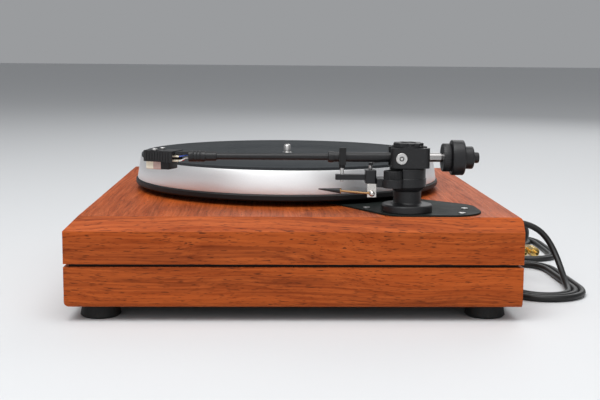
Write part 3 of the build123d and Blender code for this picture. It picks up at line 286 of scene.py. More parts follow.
# ---- finishes -------------------------------------------------------------
@dataclass(frozen=True)
class Finish:
    """A surface: two close colours that speckle between them, with gloss and relief."""

    slot: str
    base: Colour
    other: Colour
    metallic: float = 0.0
    roughness: float = 0.4
    spread: float = 0.08
    specks: float = 900.0
    relief: float = 0.00004
    rings: float = 0.0
    dust: float = 0.0
    coat: float = 0.0
    anisotropic: float = 0.0
    gloss: float = 0.5

    def material(self, centre: Point = (0.0, 0.0, 0.0), axis: Axis = Axis.UP) -> bpy.types.Material:
        """Build the finish as a material.

        Args:
            centre: Point of the turning axis, in metres.
            axis: Direction of the turning axis.

        Returns:
            A new material, or the one already made with the same values.
        """
        name = f"{self.slot}_{axis.name.lower()}_{centre[0]:.3f}_{centre[1]:.3f}_{self.base[0]:.3f}_{self.base[1]:.3f}"
        if name in bpy.data.materials:
            return bpy.data.materials[name]
        material = bpy.data.materials.new(name)
        material.use_nodes = True
        sheet = Sheet(material.node_tree)
        shader = material.node_tree.nodes["Principled BSDF"]
        shader.inputs["Metallic"].default_value = self.metallic
        shader.inputs["Coat Weight"].default_value = self.coat
        shader.inputs["Coat Roughness"].default_value = 0.12
        shader.inputs["Anisotropic"].default_value = self.anisotropic
        shader.inputs["Specular IOR Level"].default_value = self.gloss
        place = sheet.add("ShaderNodeTexCoord").outputs["Object"]
        grain = sheet.add("ShaderNodeGroup", node_tree=Effects.speckle())
        grain.inputs["Scale"].default_value = self.specks
        sheet.link(place, grain.inputs["Vector"])
        colour = sheet.blend(grain.outputs["Grain"], self.base, self.other)
        height = grain.outputs["Grain"]
        rough = grain.outputs["Clouds"]
        if self.rings:
            centring = sheet.add("ShaderNodeMapping", vector_type="TEXTURE")
            centring.inputs["Location"].default_value = centre
            centring.inputs["Rotation"].default_value = (math.radians(axis.value), 0.0, 0.0)
            sheet.link(place, centring.inputs["Vector"])
            marks = sheet.add("ShaderNodeGroup", node_tree=Effects.turned_marks())
            marks.inputs["Per Metre"].default_value = self.rings
            sheet.link(centring.outputs[0], marks.inputs["Vector"])
            height = marks.outputs["Rings"]
            rough = marks.outputs["Rings"]
        if self.dust:
            film = sheet.add("ShaderNodeGroup", node_tree=Effects.dust())
            sheet.link(place, film.inputs["Vector"])
            share = sheet.maths("MULTIPLY", film.outputs["Specks"], self.dust)
            colour = sheet.blend(share, colour, (0.42, 0.41, 0.39))
        sheet.link(colour, shader.inputs["Base Color"])
        low, high = self.roughness - self.spread, self.roughness + self.spread
        sheet.link(sheet.spread(rough, 0.3, 0.7, low, high), shader.inputs["Roughness"])
        bump = sheet.add("ShaderNodeBump", Strength=0.5, Distance=self.relief)
        sheet.link(height, bump.inputs["Height"])
        sheet.link(bump.outputs[0], shader.inputs["Normal"])
        return material


@dataclass(frozen=True)
class Wood:
    """Oiled reddish veneer."""

    base: Colour = (0.30, 0.052, 0.008)
    dark: Colour = (0.12, 0.018, 0.004)
    light: Colour = (0.50, 0.112, 0.022)
    pore: Colour = (0.05, 0.012, 0.005)

    def material(self, grain: Grain) -> bpy.types.Material:
        """Build the veneer.

        Args:
            grain: Run of the fibres.

        Returns:
            A new material.
        """
        material = bpy.data.materials.new(f"walnut_wood_{grain.name.lower()}")
        material.use_nodes = True
        sheet = Sheet(material.node_tree)
        shader = material.node_tree.nodes["Principled BSDF"]
        shader.inputs["Specular IOR Level"].default_value = 0.09
        turn = sheet.add("ShaderNodeMapping", vector_type="TEXTURE")
        turn.inputs["Rotation"].default_value = (0.0, 0.0, math.radians(grain.value))
        sheet.link(sheet.add("ShaderNodeTexCoord").outputs["Object"], turn.inputs["Vector"])
        wood = sheet.add("ShaderNodeGroup", node_tree=Effects.wood_grain())
        sheet.link(turn.outputs[0], wood.inputs["Vector"])
        bands = sheet.spread(wood.outputs["Bands"], 0.35, 0.65, 0.0, 1.0)
        fibres = sheet.spread(wood.outputs["Fibres"], 0.3, 0.7, 0.0, 1.0)
        body = sheet.blend(bands, self.dark, self.base)
        streaks = sheet.blend(sheet.maths("MULTIPLY", fibres, 0.75), body, self.light)
        pores = sheet.maths("MULTIPLY", wood.outputs["Pores"], 0.8)
        sheet.link(sheet.blend(pores, streaks, self.pore), shader.inputs["Base Color"])
        sheet.link(sheet.spread(fibres, 0.0, 1.0, 0.52, 0.40), shader.inputs["Roughness"])
        bump = sheet.add("ShaderNodeBump", Strength=0.3, Distance=0.0001)
        sheet.link(sheet.maths("SUBTRACT", fibres, pores), bump.inputs["Height"])
        sheet.link(bump.outputs[0], shader.inputs["Normal"])
        return material


ALUMINIUM = Finish(
    "satin_aluminium", (0.93, 0.93, 0.93), (0.86, 0.86, 0.87), 1.0, 0.46, 0.05, rings=2600.0, relief=0.00001
)
STEEL = Finish("bright_steel", (0.62, 0.61, 0.60), (0.5, 0.49, 0.48), 1.0, 0.34, 0.06, rings=3000.0, relief=0.00001)
BRASS = Finish("brass_rod", (0.36, 0.21, 0.10), (0.28, 0.16, 0.07), 1.0, 0.34, 0.05, relief=0.000005)
GOLD = Finish("plug_gold", (0.95, 0.68, 0.24), (0.85, 0.58, 0.18), 1.0, 0.2, 0.05, relief=0.000005)
BRONZE = Finish("bearing_bronze", (0.62, 0.42, 0.2), (0.52, 0.34, 0.16), 1.0, 0.35, 0.08, relief=0.00001)
CHROME = Finish("bright_chrome", (0.60, 0.57, 0.54), (0.54, 0.51, 0.48), 1.0, 0.14, 0.03, relief=0.000005)
DARK_CHROME = Finish("dark_chrome", (0.35, 0.34, 0.33), (0.28, 0.27, 0.27), 1.0, 0.16, 0.04, relief=0.000005)
ARM_BLACK = Finish(
    "black_arm_metal", (0.007, 0.007, 0.008), (0.013, 0.013, 0.014), 0.0, 0.40, 0.05, dust=0.06, gloss=0.32
)
WEIGHT_BLACK = Finish(
    "black_weight", (0.006, 0.006, 0.007), (0.012, 0.012, 0.013), 0.0, 0.38, 0.06, rings=2200.0, gloss=0.34
)
PLASTIC = Finish(
    "black_plastic", (0.005, 0.005, 0.005), (0.010, 0.010, 0.011), 0.0, 0.48, 0.06, 1400.0, dust=0.04, gloss=0.28
)
SHELL_PLASTIC = Finish(
    "black_plastic", (0.009, 0.009, 0.010), (0.016, 0.016, 0.017), 0.0, 0.42, 0.06, 1400.0, gloss=0.32
)
MAT_RUBBER = Finish(
    "mat_rubber", (0.010, 0.012, 0.014), (0.045, 0.050, 0.054), 0.0, 0.88, 0.06, 700.0, 0.0002, dust=0.16,
    gloss=0.2,
)
RUBBER = Finish(
    "black_rubber", (0.008, 0.008, 0.008), (0.015, 0.015, 0.015), 0.0, 0.68, 0.08, 800.0, 0.0001, gloss=0.25
)
BOARD = Finish("dark_board", (0.012, 0.010, 0.009), (0.022, 0.018, 0.016), 0.0, 0.7, 0.1, 500.0, 0.0001, gloss=0.2)
ARMBOARD = Finish(
    "armboard_black", (0.008, 0.011, 0.010), (0.016, 0.019, 0.018), 0.0, 0.50, 0.05, 600.0, dust=0.10, gloss=0.05
)
CREAM = Finish("cream_plastic", (0.80, 0.74, 0.60), (0.72, 0.66, 0.53), 0.0, 0.4, 0.06)
PINK = Finish("cream_plastic", (0.52, 0.36, 0.32), (0.44, 0.30, 0.27), 0.0, 0.4, 0.06)
LEAD = Finish("lead_black", (0.006, 0.006, 0.006), (0.011, 0.011, 0.011), 0.0, 0.40, 0.05, 700.0, gloss=0.35)


def wire_finish(colour: Colour) -> Finish:
    """Plain coloured sleeving of one wire."""
    return Finish("wire_mixed", colour, tuple(0.75 * part for part in colour), 0.0, 0.45, 0.05)


WIRES = [
    wire_finish(colour)
    for colour in ((0.55, 0.03, 0.03), (0.04, 0.36, 0.08), (0.75, 0.75, 0.72), (0.04, 0.10, 0.5))
]
BY_SLOT = {
    finish.slot: finish
    for finish in (
        ALUMINIUM, STEEL, BRASS, GOLD, BRONZE, CHROME, DARK_CHROME, ARM_BLACK, WEIGHT_BLACK, PLASTIC,
        MAT_RUBBER, RUBBER, BOARD, ARMBOARD, CREAM, LEAD, WIRES[0],
    )
}
SLOTS: dict[str, str] = {part["node"]: part["material_slot"] for part in frame["record"]["subparts"]}


# ---- making pieces --------------------------------------------------------
@dataclass(frozen=True)
class Extent:
    """Box of a node at rest, in millimetres."""

    low: Vector
    high: Vector

    @classmethod
    def of(cls, node: str) -> "Extent":
        """Measure a node of the frame."""
        low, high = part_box(node)
        return cls(low / MM, high / MM)

    @property
    def middle(self) -> Vector:
        """Centre of the box."""
        return (self.low + self.high) / 2


def body_name(node: str) -> str:
    """Body that a node rides on."""
    for name, nodes in frame["record"]["behaviour"]["bodies"].items():
        if node in nodes:
            return name
    return "root"


def close(mesh_data: bmesh.types.BMesh) -> None:
    """Merge doubled points and turn every face outwards."""
    bmesh.ops.remove_doubles(mesh_data, verts=mesh_data.verts, dist=2e-6)
    bmesh.ops.recalc_face_normals(mesh_data, faces=mesh_data.faces)


def piece(
    name: str,
    shape: bmesh.types.BMesh,
    body: str,
    materials: list[bpy.types.Material],
    stands_for: tuple[str, ...] = (),
    sharp: float = 32.0,
) -> bpy.types.Object:
    """Turn a shape into a finished object that rides on its body.

    Args:
        name: The object's name.
        shape: Its geometry, which is freed.
        body: Body that it rides on.
        materials: Its materials, by the faces' material index.
        stands_for: Nodes that it replaces.
        sharp: Least angle in degrees that stays a crease.

    Returns:
        The new object.
    """
    mesh = bpy.data.meshes.new(name)
    shape.to_mesh(mesh)
    shape.free()
    mesh.shade_smooth()
    mesh.set_sharp_from_angle(angle=math.radians(sharp))
    for material in materials:
        mesh.materials.append(material)
    made = bpy.data.objects.new(name, mesh)
    bpy.context.scene.collection.objects.link(made)
    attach(made, body)
    if stands_for:
        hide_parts(*stands_for)
    log.info("%s: %d faces on %s", name, len(mesh.polygons), body)
    return made


def turned(profile: Profile, at: Point, axis: Axis, ring: bool, steps: int = 128) -> bmesh.types.BMesh:
    """Spin a profile round an axis.

    Args:
        profile: Points as radius and distance along the axis, in millimetres.
        at: Point of the axis, in millimetres; its part along the axis is added to the profile.
        axis: Direction of the axis.
        ring: True closes the profile on itself; False has both its ends on the axis.
        steps: Steps round the axis.

    Returns:
        The closed shape.
    """
    shape = bmesh.new()
    points = [shape.verts.new((radius * MM, 0.0, along * MM)) for radius, along in profile]
    pairs = list(zip(points, points[1:]))
    if ring:
        pairs.append((points[-1], points[0]))
    lines = [shape.edges.new(pair) for pair in pairs]
    bmesh.ops.spin(
        shape, geom=points + lines, cent=(0, 0, 0), axis=(0, 0, 1), dvec=(0, 0, 0),
        angle=math.tau, steps=steps, use_merge=True, use_duplicate=False, use_normal_flip=False,
    )
    close(shape)
    bmesh.ops.transform(
        shape, matrix=Matrix.Translation(Vector(at) * MM) @ axis.turn(), verts=shape.verts, space=Matrix()
    )
    return shape


def flute(
    shape: bmesh.types.BMesh, at: Point, axis: Axis, band: tuple[float, float], least: float, count: int, depth: float
) -> None:
    """Press even grooves into the outside of a turned shape.

    Args:
        shape: Shape from turned().
        at: Point of its axis, in millimetres.
        axis: Direction of the axis.
        band: Stretch along the axis that is grooved, measured from at.
        least: Least radius of a point that is moved.
        count: Number of grooves.
        depth: Depth of a groove.
    """
    back = (Matrix.Translation(Vector(at) * MM) @ axis.turn()).inverted()
    for vertex in shape.verts:
        local = back @ vertex.co
        radius = math.hypot(local.x, local.y)
        if radius < least * MM or not band[0] <= local.z / MM <= band[1]:
            continue
        wave = 0.5 - 0.5 * math.cos(count * math.atan2(local.y, local.x))
        shrink = 1.0 - depth * MM * wave / radius
        local.x *= shrink
        local.y *= shrink
        vertex.co = back.inverted() @ local


def merged_copy(node: str) -> bmesh.types.BMesh:
    """Copy a node's mesh with its points merged and its flat faces joined.

    Args:
        node: Name of the node.

    Returns:
        The copy.
    """
    shape = bmesh.new()
    shape.from_mesh(frame["nodes"][node].data)
    close(shape)
    bmesh.ops.dissolve_limit(shape, angle_limit=math.radians(0.6), verts=shape.verts, edges=shape.edges)
    return shape


def round_edges(made: bpy.types.Object, width: float, segments: int = 2) -> bpy.types.Object:
    """Break an object's sharp edges.

    Args:
        made: The object.
        width: Width of the broken edge, in millimetres.
        segments: Faces across it.

    Returns:
        The same object.
    """
    edge = made.modifiers.new("broken_edges", "BEVEL")
    edge.width = width * MM
    edge.segments = segments
    edge.profile = 0.5
    edge.limit_method = "ANGLE"
    edge.angle_limit = math.radians(38)
    edge.use_clamp_overlap = True
    return made


def softened(node: str, width: float, finish: Finish | None = None, segments: int = 2) -> bpy.types.Object:
    """Put a smooth copy with broken edges in a node's place.

    Args:
        node: Name of the node.
        width: Width of the broken edge, in millimetres; 0 leaves the edges sharp.
        finish: Its finish, where that isn't its slot's own.
        segments: Faces across a broken edge.

    Returns:
        The new object.
    """
    chosen = finish or BY_SLOT[SLOTS[node]]
    centre = tuple(Extent.of(node).middle * MM)
    made = piece(
        f"{node}_finished", merged_copy(node), body_name(node), [chosen.material(centre)], (node,)
    )
    return round_edges(made, width, segments) if width else made


def dress(node: str, finish: Finish | None = None) -> None:
    """Give a node that stays its own material.

    Args:
        node: Name of the node.
        finish: Its finish, where that isn't its slot's own.
    """
    chosen = finish or BY_SLOT[SLOTS[node]]
    mesh = frame["nodes"][node].data
    mesh.materials.clear()
    mesh.materials.append(chosen.material(tuple(Extent.of(node).middle * MM)))


# ---- studio ---------------------------------------------------------------
@dataclass
class Studio:
    """Camera, lights and floor."""

    camera_at: Point = (1.0261, -0.0233, 0.2189)
    heading: float = 88.143
    pitch: float = 81.96
    roll: float = 0.0086
    lens: float = 61.78
    floor_half: float = 20.0
    floor_colour: Colour = (0.60, 0.61, 0.62)

    def build(self) -> None:
        """Make the camera first, then the light and the floor."""
        self.camera()
        self.world()
        self.lamp("key_light", (1.0, -0.7, 2.0), 1.5, 30.0)
        self.lamp("side_light", (2.6, 0.0, 0.9), 4.6, 44.0)
        self.lamp("top_light", (0.45, 0.1, 2.1), 1.8, 27.0)
        self.lamp("back_light", (-1.8, 0.9, 1.4), 1.5, 12.0)
        self.floor()

    def camera(self) -> None:
        """Place the camera."""
        data = bpy.data.cameras.new("camera")
        data.lens = self.lens
        data.sensor_width = 36.0
        data.clip_start = 0.01
        made = bpy.data.objects.new("camera", data)
        made.matrix_world = (
            Matrix.Translation(self.camera_at)
            @ Matrix.Rotation(math.radians(self.heading), 4, "Z")
            @ Matrix.Rotation(math.radians(self.pitch), 4, "X")
            @ Matrix.Rotation(self.roll, 4, "Z")
        )
        bpy.context.scene.collection.objects.link(made)
        bpy.context.scene.camera = made

    def world(self) -> None:
        """Fill the room with even pale light."""
        world = bpy.data.worlds.new("studio")
        world.use_nodes = True
        shade = world.node_tree.nodes["Background"]
        shade.inputs["Color"].default_value = (0.90, 0.92, 0.95, 1.0)
        shade.inputs["Strength"].default_value = 0.36
        bpy.context.scene.world = world
        bpy.context.scene.view_settings.view_transform = "Standard"

    def lamp(self, name: str, at: Point, size: float, power: float) -> None:
        """Hang a square soft light that faces the record player.

        Args:
            name: The light's name.
            at: Its place in metres.
            size: Length of its side in metres.
            power: Power in watts.
        """
        data = bpy.data.lights.new(name, "AREA")
        data.size = size
        data.energy = power
        made = bpy.data.objects.new(name, data)
        made.location = at
        made.rotation_euler = (Vector((0.0, 0.0, 0.08)) - Vector(at)).to_track_quat("-Z", "Y").to_euler()
        bpy.context.scene.collection.objects.link(made)

    def floor(self) -> None:
        """Lay the floor."""
        shape = bmesh.new()
        bmesh.ops.create_grid(shape, x_segments=1, y_segments=1, size=self.floor_half)
        mesh = bpy.data.meshes.new("floor")
        shape.to_mesh(mesh)
        shape.free()
        made = bpy.data.objects.new("floor", mesh)
        material = bpy.data.materials.new("pale_floor")
        material.use_nodes = True
        shader = material.node_tree.nodes["Principled BSDF"]
        shader.inputs["Base Color"].default_value = (*self.floor_colour, 1.0)
        shader.inputs["Roughness"].default_value = 0.7
        mesh.materials.append(material)
        bpy.context.scene.collection.objects.link(made)


# ---- leads ----------------------------------------------------------------
@dataclass
class Coil:
    """Flat coil with straight sides, wound clockwise seen from above."""

    centre: tuple[float, float]
    half_long: float
    half_short: float
    start: float              # distance round its middle line to the first turn's start
    turns: float
    first: float              # offset of the first turn from the middle line
    last: float
    height: float
    points_per_turn: int = 24
    wander: float = 0.15

    def at(self, distance: float, offset: float) -> tuple[float, float]:
        """Find a point beside the middle line.

        Args:
            distance: Distance round the middle line, from the start of its rear side.
            offset: Distance outwards from it.

        Returns:
            The point's x and y.
        """
        side = 2 * (self.half_long - self.half_short)
        bend = math.pi * self.half_short
        reach = self.half_short + offset
        along = distance % (2 * side + 2 * bend)
        if along < side:
            return self.centre[0] - side / 2 + along, self.centre[1] + reach
        if along < side + bend:
            angle = math.pi / 2 - (along - side) / self.half_short
            return self.centre[0] + side / 2 + reach * math.cos(angle), self.centre[1] + reach * math.sin(angle)
        if along < 2 * side + bend:
            return self.centre[0] + side / 2 - (along - side - bend), self.centre[1] - reach
        angle = -math.pi / 2 - (along - 2 * side - bend) / self.half_short
        return self.centre[0] - side / 2 + reach * math.cos(angle), self.centre[1] + reach * math.sin(angle)

    def route(self) -> list[Point]:
        """Work out the turns' points, without the first and last."""
        length = 4 * (self.half_long - self.half_short) + math.tau * self.half_short
        count = round(self.turns * self.points_per_turn)
        found = []
        for step in range(1, count):
            share = step / count
            offset = self.first + (self.last - self.first) * share
            offset += self.wander * math.sin(5.3 * math.tau * share)
            x, y = self.at(self.start + share * self.turns * length, offset)
            found.append((x, y, self.height))
        return found


@dataclass
class Lead:
    """One flexible lead, from its gland to its plug."""

    name: str
    diameter: float
    length_in_metres: float
    route: list[Point]
    coil: Coil
    tail: list[Point]
    stands_for: tuple[str, ...]
    with_pieces: tuple[str, ...]

    def build(self) -> bpy.types.Object:
        """Lay the lead as one smooth curve.

        Returns:
            The curve object.
        """
        points = [*self.route, *self.coil.route(), *self.tail]
        data = bpy.data.curves.new(self.name, "CURVE")
        data.dimensions = "3D"
        data.bevel_depth = self.diameter / 2 * MM
        data.bevel_resolution = 5
        data.resolution_u = 5
        data.use_fill_caps = True
        spline = data.splines.new("NURBS")
        spline.points.add(len(points) - 1)
        for place, point in zip(spline.points, points):
            place.co = (*(Vector(point) * MM), 1.0)
        spline.order_u = 3
        spline.use_endpoint_u = True
        data.materials.append(LEAD.material())
        made = bpy.data.objects.new(self.name, data)
        bpy.context.scene.collection.objects.link(made)
        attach(made, "root")
        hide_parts(*self.stands_for)
        log.info("%s: %d points", self.name, len(points))
        return made

    def declare(self, lead: bpy.types.Object) -> None:
        """Take the built lead and do nothing with it."""


@dataclass
class Leads:
    """Signal and mains leads, with their glands and plugs."""

    signal: Lead = field(
        default_factory=lambda: Lead(
            name="signal_lead_curve",
            diameter=5.0,
            length_in_metres=0.98,
            route=[
                (-5.0, 209.0, 58.0), (-5.6, 222.0, 57.0), (-9.0, 236.0, 52.0), (-17.0, 245.5, 42.5),
                (-29.0, 249.0, 31.0), (-43.5, 246.5, 20.5), (-58.0, 240.0, 13.0), (-72.0, 233.5, 8.4),
                (-87.0, 230.0, 5.2), (-102.0, 229.2, 3.2),
            ],
            coil=Coil((-122.0, 264.0), 66.0, 28.0, 182.0, 2.445, 6.8, -6.5, 2.85),
            tail=[
                (-160.0, 285.5, 2.9), (-148.5, 281.5, 2.9), (-137.0, 275.0, 3.3), (-126.0, 269.0, 4.0),
                (-114.0, 266.0, 5.2),
            ],
            stands_for=("signal_lead", "signal_coil"),
            with_pieces=("signal_gland_finished", "phono_plugs_finished"),
        )
    )
    mains: Lead = field(
        default_factory=lambda: Lead(
            name="mains_lead_curve",
            diameter=6.0,
            length_in_metres=1.11,
            route=[
                (36.0, 221.0, 58.0), (36.6, 233.0, 56.2), (39.5, 246.0, 49.0), (45.5, 254.0, 37.5),
                (54.5, 258.5, 24.5), (66.5, 260.0, 14.0), (79.5, 259.6, 7.4), (92.0, 258.9, 3.6),
            ],
            coil=Coil((46.0, 234.0), 78.0, 33.0, 91.0, 2.4953, -8.1, 8.0, 3.35),
            tail=[
                (2.0, 193.0, 3.35), (-14.5, 194.4, 3.35), (-31.0, 199.5, 3.7), (-48.0, 206.2, 5.0),
                (-65.0, 210.0, 7.0),
            ],
            stands_for=("mains_lead", "mains_coil"),
            with_pieces=("mains_gland_finished", "mains_plug_finished"),
        )
    )

    def build(self) -> None:
        """Make both leads and what is on them."""
        signal = self.signal.build()
        mains = self.mains.build()
        for node in ("signal_gland", "mains_gland"):
            softened(node, 0.3)
        softened("phono_plugs", 0.3, GOLD)
        softened("mains_plug", 0.8, PLASTIC, 3)
        self.signal.declare(signal)
        self.mains.declare(mains)


# ---- plinth ---------------------------------------------------------------
@dataclass
class Plinth:
    """Wooden halves, spacer, base board, feet and screws."""

    broken_edge: float = 0.7
    side_lean: float = 0.5    # least sideways part of a side face's normal

    def build(self) -> None:
        """Dress the whole plinth."""
        materials = [Wood().material(Grain.ACROSS), Wood().material(Grain.ALONG)]
        for node in ("upper_plinth", "lower_plinth"):
            shape = merged_copy(node)
            for face in shape.faces:
                face.material_index = int(abs(face.normal.x) > self.side_lean)
            made = piece(f"{node}_veneered", shape, "root", materials, (node,))
            round_edges(made, self.broken_edge, 3)
        for corner in ("front_left", "front_right", "rear_left", "rear_right"):
            softened(f"foot_{corner}", 0.0)
        for node in ("spacer_frame", "base_board", "corner_screws"):
            dress(node)


# ---- platter --------------------------------------------------------------
@dataclass
class Platter:
    """Turned rim, skirt, mat and spindle."""

    steps: int = 256
    rim_wall: float = 9.0
    rim_edge: float = 0.8
    plate: float = 5.4
    plate_cone: float = 6.0
    taper: float = 3.2
    mat_groove: float = 0.3
    mat_grooves: tuple[float, ...] = (52.0, 60.0, 140.0)
    spindle_hole: float = 5.25

    def build(self) -> None:
        """Make the turning pieces that show."""
        self.rim()
        self.skirt()
        self.mat()
        softened("platter_shaft", 0.4)
        for node in ("sub_platter",):
            softened(node, 0.0)

    def rim(self) -> None:
        """Turn the metal platter."""
        box = Extent.of("outer_platter")
        low, high = box.low.z, box.high.z
        outer = (box.high.x - box.low.x) / 2
        top = outer - self.taper
        inner = outer - self.rim_wall
        under = high - self.plate
        edge = self.rim_edge
        profile = [
            (self.spindle_hole, under), (self.spindle_hole, high), (top - edge, high),
            (top - 0.3 * edge, high - 0.3 * edge), (top + 0.05 * edge, high - edge),
            (outer - 0.05 * edge, low + edge), (outer - 0.3 * edge, low + 0.3 * edge), (outer - edge, low),
            (inner, low), (inner, under - self.plate_cone), (inner - self.plate_cone, under),
        ]
        self.lay("platter_rim", profile, "outer_platter", ALUMINIUM)

    def skirt(self) -> None:
        """Turn the black ring under the rim."""
        box = Extent.of("platter_skirt")
        low, high = box.low.z, box.high.z
        outer = (box.high.x - box.low.x) / 2
        inner = outer - 12.0
        profile = [(inner, low), (inner, high), (outer - 0.8, high), (outer, high - 0.8), (outer, low + 1.2),
                   (outer - 1.2, low)]
        self.lay("platter_skirt_ring", profile, "platter_skirt", PLASTIC)

    def mat(self) -> None:
        """Turn the mat, with shallow grooves."""
        box = Extent.of("platter_mat")
        low, high = box.low.z, box.high.z
        outer = (box.high.x - box.low.x) / 2
        profile = [(self.spindle_hole, low), (self.spindle_hole, high)]
        for radius in self.mat_grooves:
            profile += [(radius - 0.8, high), (radius - 0.3, high - self.mat_groove),
                        (radius + 0.3, high - self.mat_groove), (radius + 0.8, high)]
        profile += [(outer - 0.6, high), (outer - 0.15, high - 0.25), (outer, high - 0.7), (outer, low)]
        self.lay("platter_mat_disc", profile, "platter_mat", MAT_RUBBER)

    def lay(self, name: str, profile: Profile, node: str, finish: Finish) -> None:
        """Spin a profile round the spindle in place of a node.

        Args:
            name: The piece's name.
            profile: Closed outline as radius and height.
            node: Node that it replaces.
            finish: Its finish.
        """
        middle = Extent.of(node).middle
        shape = turned(profile, (middle.x, middle.y, 0.0), Axis.UP, True, self.steps)
        material = finish.material((middle.x * MM, middle.y * MM, 0.0))
        piece(name, shape, "platter", [material], (node,))


# ---- tonearm --------------------------------------------------------------
@dataclass
class ArmBase:
    """Armboard, pillar, bracket and anti-skate dial."""

    dial_edge: float = 0.5
    dial_flutes: int = 36
    dial_depth: float = 0.35
    dial_hole: float = 1.5
    dial_hole_depth: float = 5.0

    def build(self) -> None:
        """Dress the arm's fixed pieces."""
        softened("armboard", 0.5, segments=3)
        softened("armboard_screws", 0.15, STEEL)
        softened("arm_base", 0.5)
        softened("arm_bracket", 0.6, segments=3)
        self.dial()

    def dial(self) -> None:
        """Turn the fluted anti-skate dial."""
        box = Extent.of("anti_skate_dial")
        low, high = box.low.z, box.high.z
        outer = (box.high.x - box.low.x) / 2
        edge = self.dial_edge
        profile = [
            (0.0, high - 1.2), (outer - 2.6, high - 1.2), (outer - 2.2, high), (outer - edge, high),
            (outer, high - edge), (outer, (low + high) / 2), (outer, low + edge), (outer - edge, low),
            (self.dial_hole, low), (self.dial_hole, low + self.dial_hole_depth), (0.0, low + self.dial_hole_depth),
        ]
        at = (box.middle.x, box.middle.y, 0.0)
        shape = turned(profile, at, Axis.UP, False, 4 * self.dial_flutes)
        flute(shape, at, Axis.UP, (low - 1, high - 0.1), outer - 0.1, self.dial_flutes, self.dial_depth)
        material = PLASTIC.material()
        piece("anti_skate_knob", shape, "skate_dial", [material], ("anti_skate_dial",), 50.0)


@dataclass
class ArmHousing:
    """Swinging housing with its cap and pivot screws."""

    insert_radius: float = 2.2
    insert_proud: float = 0.2
    insert_dish: float = 1.0
    insert_sunk: float = 0.6
    insert_seat: float = 0.2   # from the head's face, so that it stays inside the pivots' reach
    cap_steps: int = 144
    cap_scallops: int = 9
    cap_scallop: float = 1.7
    cap_dish: float = 1.1
    cap_band: float = 0.55    # of the cap's height that the scallops take, from its top

    def build(self) -> None:
        """Dress the housing."""
        softened("yoke_housing", 1.2, segments=4)
        self.cap()
        softened("pivot_screws", 0.4, segments=3)
        softened("yoke_spindle", 0.0)
        self.inserts()

    def cap(self) -> None:
        """Turn the scalloped cap."""
        box = Extent.of("yoke_cap")
        low, high = box.low.z, box.high.z
        outer = (box.high.x - box.low.x) / 2
        floor = high - self.cap_dish
        shoulder = high - self.cap_band * (high - low)
        profile = [
            (0.0, floor), (0.45 * outer, floor), (0.53 * outer, high), (outer - 1.2, high), (outer - 0.7, high - 0.2),
            (outer - 0.5, high - 0.7), (outer - 0.5, shoulder), (outer, shoulder - 0.3), (outer, low), (0.0, low),
        ]
        at = (box.middle.x, box.middle.y, 0.0)
        shape = turned(profile, at, Axis.UP, False, self.cap_steps)
        band = (shoulder - 0.05, high + 1.0)
        flute(shape, at, Axis.UP, band, 0.8 * outer, self.cap_scallops, self.cap_scallop)
        piece("yoke_cap_scalloped", shape, "arm_yoke", [ARM_BLACK.material()], ("yoke_cap",), 40.0)

    def inserts(self) -> None:
        """Set a dished brass screw into each pivot's head."""
        box = Extent.of("pivot_screws")
        radius, proud, dish = self.insert_radius, self.insert_proud, self.insert_dish
        profile = [
            (0.0, -self.insert_sunk), (radius, -self.insert_sunk), (radius, proud - 0.2), (radius - 0.2, proud),
            (dish + 0.2, proud), (dish, proud - 0.2), (0.0, proud - 0.2),
        ]
        for side, word, x in ((1, "right", box.high.x), (-1, "left", box.low.x)):
            shape = turned(profile, (0.0, 0.0, 0.0), Axis.UP, False, 48)
            place = Matrix.Translation(Vector((x - side * self.insert_seat, box.middle.y, box.middle.z)) * MM)
            turn = Matrix.Rotation(math.radians(side * 90), 4, "Y")
            bmesh.ops.transform(shape, matrix=place @ turn, verts=shape.verts, space=Matrix())
            piece(f"pivot_insert_{word}", shape, "arm_yoke", [BRASS.material()])


